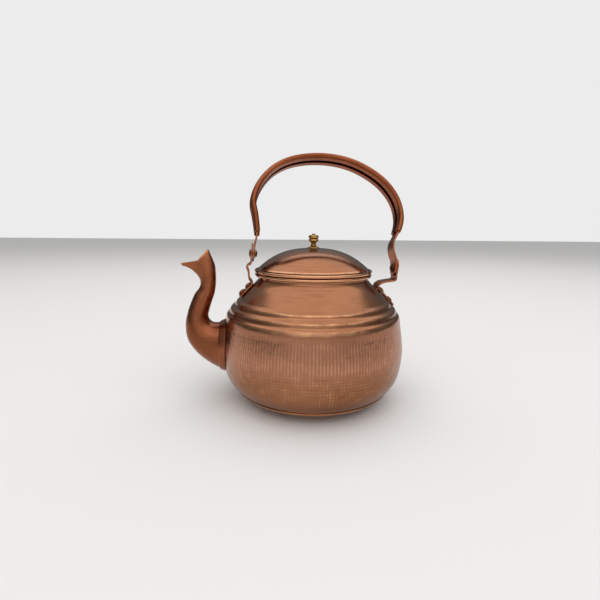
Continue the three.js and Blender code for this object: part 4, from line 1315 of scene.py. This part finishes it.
def rivets():
    """Every rivet and the rove behind it: two through each foot and one at each pivot."""
    for foot, name in ((FRONT_FOOT, "front"), (REAR_FOOT, "rear")):
        through = foot["standoff"] + LUG_THICKNESS + GAP + BODY_WALL + GAP
        grip = through + ROVE_THICKNESS + 2 * GAP
        seats = foot_rivet_seats(foot)
        ends = ("lower", "upper")
        stand_copies(
            f"{name}_foot_rivets",
            rivet_blank(
                FOOT_SHANK, FOOT_HEAD_RADIUS, FOOT_HEAD_RISE, grip, FOOT_SHANK + 1.2, 1.2
            ),
            seats,
            3 if name == "front" else 8,
            *(f"{name}_foot_rivet_{end}" for end in ends),
        )
        depth = through + GAP / 2 + ROVE_THICKNESS
        stand_copies(
            f"{name}_foot_roves",
            rove_blank(FOOT_SHANK + GAP),
            [(seat - out * depth, out) for seat, out in seats],
            1,
            *(f"{name}_foot_rove_{end}" for end in ends),
        )
    head_seat = LUG_OFFSET + LUG_THICKNESS / 2 + GAP
    to_rove = head_seat + STRAP_THICKNESS / 2 + GAP
    seats = []
    for pivot, side in ((FRONT_PIVOT, -1), (REAR_PIVOT, 1)):
        outward = HINGE_AXIS * side
        seats.append((pivot + outward * head_seat, outward))
    stand_copies(
        "pivot_rivets",
        rivet_blank(
            PIVOT_SHANK,
            PIVOT_HEAD_RADIUS,
            PIVOT_HEAD_RISE,
            to_rove + ROVE_THICKNESS + GAP,
            PIVOT_TAIL_RADIUS,
            PIVOT_HEAD_RISE,
        ),
        seats,
        11,
        "front_pivot_rivet",
        "rear_pivot_rivet",
    )
    stand_copies(
        "pivot_roves",
        rove_blank(PIVOT_SHANK + GAP),
        [(seat - out * (to_rove + ROVE_THICKNESS), out) for seat, out in seats],
        2,
        "front_pivot_rove",
        "rear_pivot_rove",
    )


# ---------------------------------------------------------------- assembly

kettle_body()
base_pan()
settle(
    rolled_edge("rolled_mouth", MOUTH_RING, MOUTH_TOP - ROLL_RADIUS),
    "kettle_body",
    "body_copper",
    "mouth_roll",
)
settle(rolled_edge("rolled_lid_edge", LID_RING, LID_ROLL_HEIGHT), "lid", "body_copper", "lid_roll")
domed_lid()
turned_knob()
swan_spout()
spout_collar()
lug("front_lug_strap", "front_lug", FRONT_PIVOT, FRONT_FOOT, [(0.2, -26), (1.6, -19), (3.6, -13.6)])
lug("rear_lug_strap", "rear_lug", REAR_PIVOT, REAR_FOOT, [(-16, -17.5), (-6, -14.2), (-0.6, -12.6)])
bail_strap()
bail_grip()
rivets()

for node, material in (
    ("mouth_wire", edge_wire),
    ("lid_wire", edge_wire),
    ("knob_washer", knob_brass),
    ("knob_nut", knob_brass),
):
    kept_node = frame["nodes"][node]
    kept_node.data.materials.clear()
    kept_node.data.materials.append(material)


# ---------------------------------------------------------------- studio

def floor():
    mesh = bpy.data.meshes.new("floor")
    reach = 6.0
    mesh.from_pydata(
        [(-reach, -reach, 0), (reach, -reach, 0), (reach, reach, 0), (-reach, reach, 0)],
        [],
        [(0, 1, 2, 3)],
    )
    made = linked("floor", mesh)
    material = bpy.data.materials.new("pale_floor")
    material.use_nodes = True
    shader = material.node_tree.nodes["Principled BSDF"]
    shader.inputs["Base Color"].default_value = (0.88, 0.87, 0.86, 1)
    shader.inputs["Roughness"].default_value = 0.9
    made.data.materials.append(material)
    made.location.z = -0.0004


def soft_light(name, place, target, size, watts, colour=(1, 1, 1)):
    light = bpy.data.lights.new(name, "AREA")
    light.shape = "RECTANGLE"
    light.size, light.size_y = size
    light.energy = watts
    light.color = colour
    made = linked(name, light)
    made.location = place
    made.rotation_mode = "QUATERNION"
    made.rotation_quaternion = (Vector(target) - Vector(place)).to_track_quat("-Z", "Y")


def studio():
    """A pale surround that only the camera sees, and a dimmer room that lights everything."""
    world = bpy.data.worlds.new("studio")
    bpy.context.scene.world = world
    world.use_nodes = True
    world.node_tree.nodes.clear()
    bench = Bench(world.node_tree)
    way = bench.put(
        "ShaderNodeSeparateXYZ", sockets={0: bench.put("ShaderNodeTexCoord", out="Generated")}
    )
    room = bench.step(way.also("Z"), 0.0, 0.9, 0.11, 0.5)
    room = room + bench.step(way.also("Y") * -1.0, 0.1, 1.0, 0.0, 0.5)
    seen = bench.put("ShaderNodeLightPath", out="Is Camera Ray")
    level = room * (1 - seen) + seen * 0.84
    light = bench.put("ShaderNodeBackground", sockets={"Color": level, "Strength": 1.0})
    bench.put("ShaderNodeOutputWorld", sockets={"Surface": light})


def camera():
    lens = bpy.data.cameras.new("camera")
    lens.sensor_width = 36
    lens.lens = 23.19
    lens.clip_start = 0.02
    made = linked("camera", lens)
    look = Vector((0.113, 0.9767, -0.1822)).to_track_quat("-Z", "Y").to_matrix().to_4x4()
    roll = Matrix.Rotation(math.radians(0.6), 4, "Z")
    made.matrix_world = Matrix.Translation(Vector((-61.8, -413.6, 183.7)) * MM) @ look @ roll
    bpy.context.scene.camera = made


floor()
studio()
soft_light("window", (-0.25, -1.5, 0.85), (0, 0, 0.1), (1.8, 1.6), 2.5, (1, 0.96, 0.93))
soft_light("overhead", (0.1, 0.0, 1.6), (0, 0, 0), (3.2, 3.2), 27)
camera()
bpy.context.scene.view_settings.view_transform = "Standard"
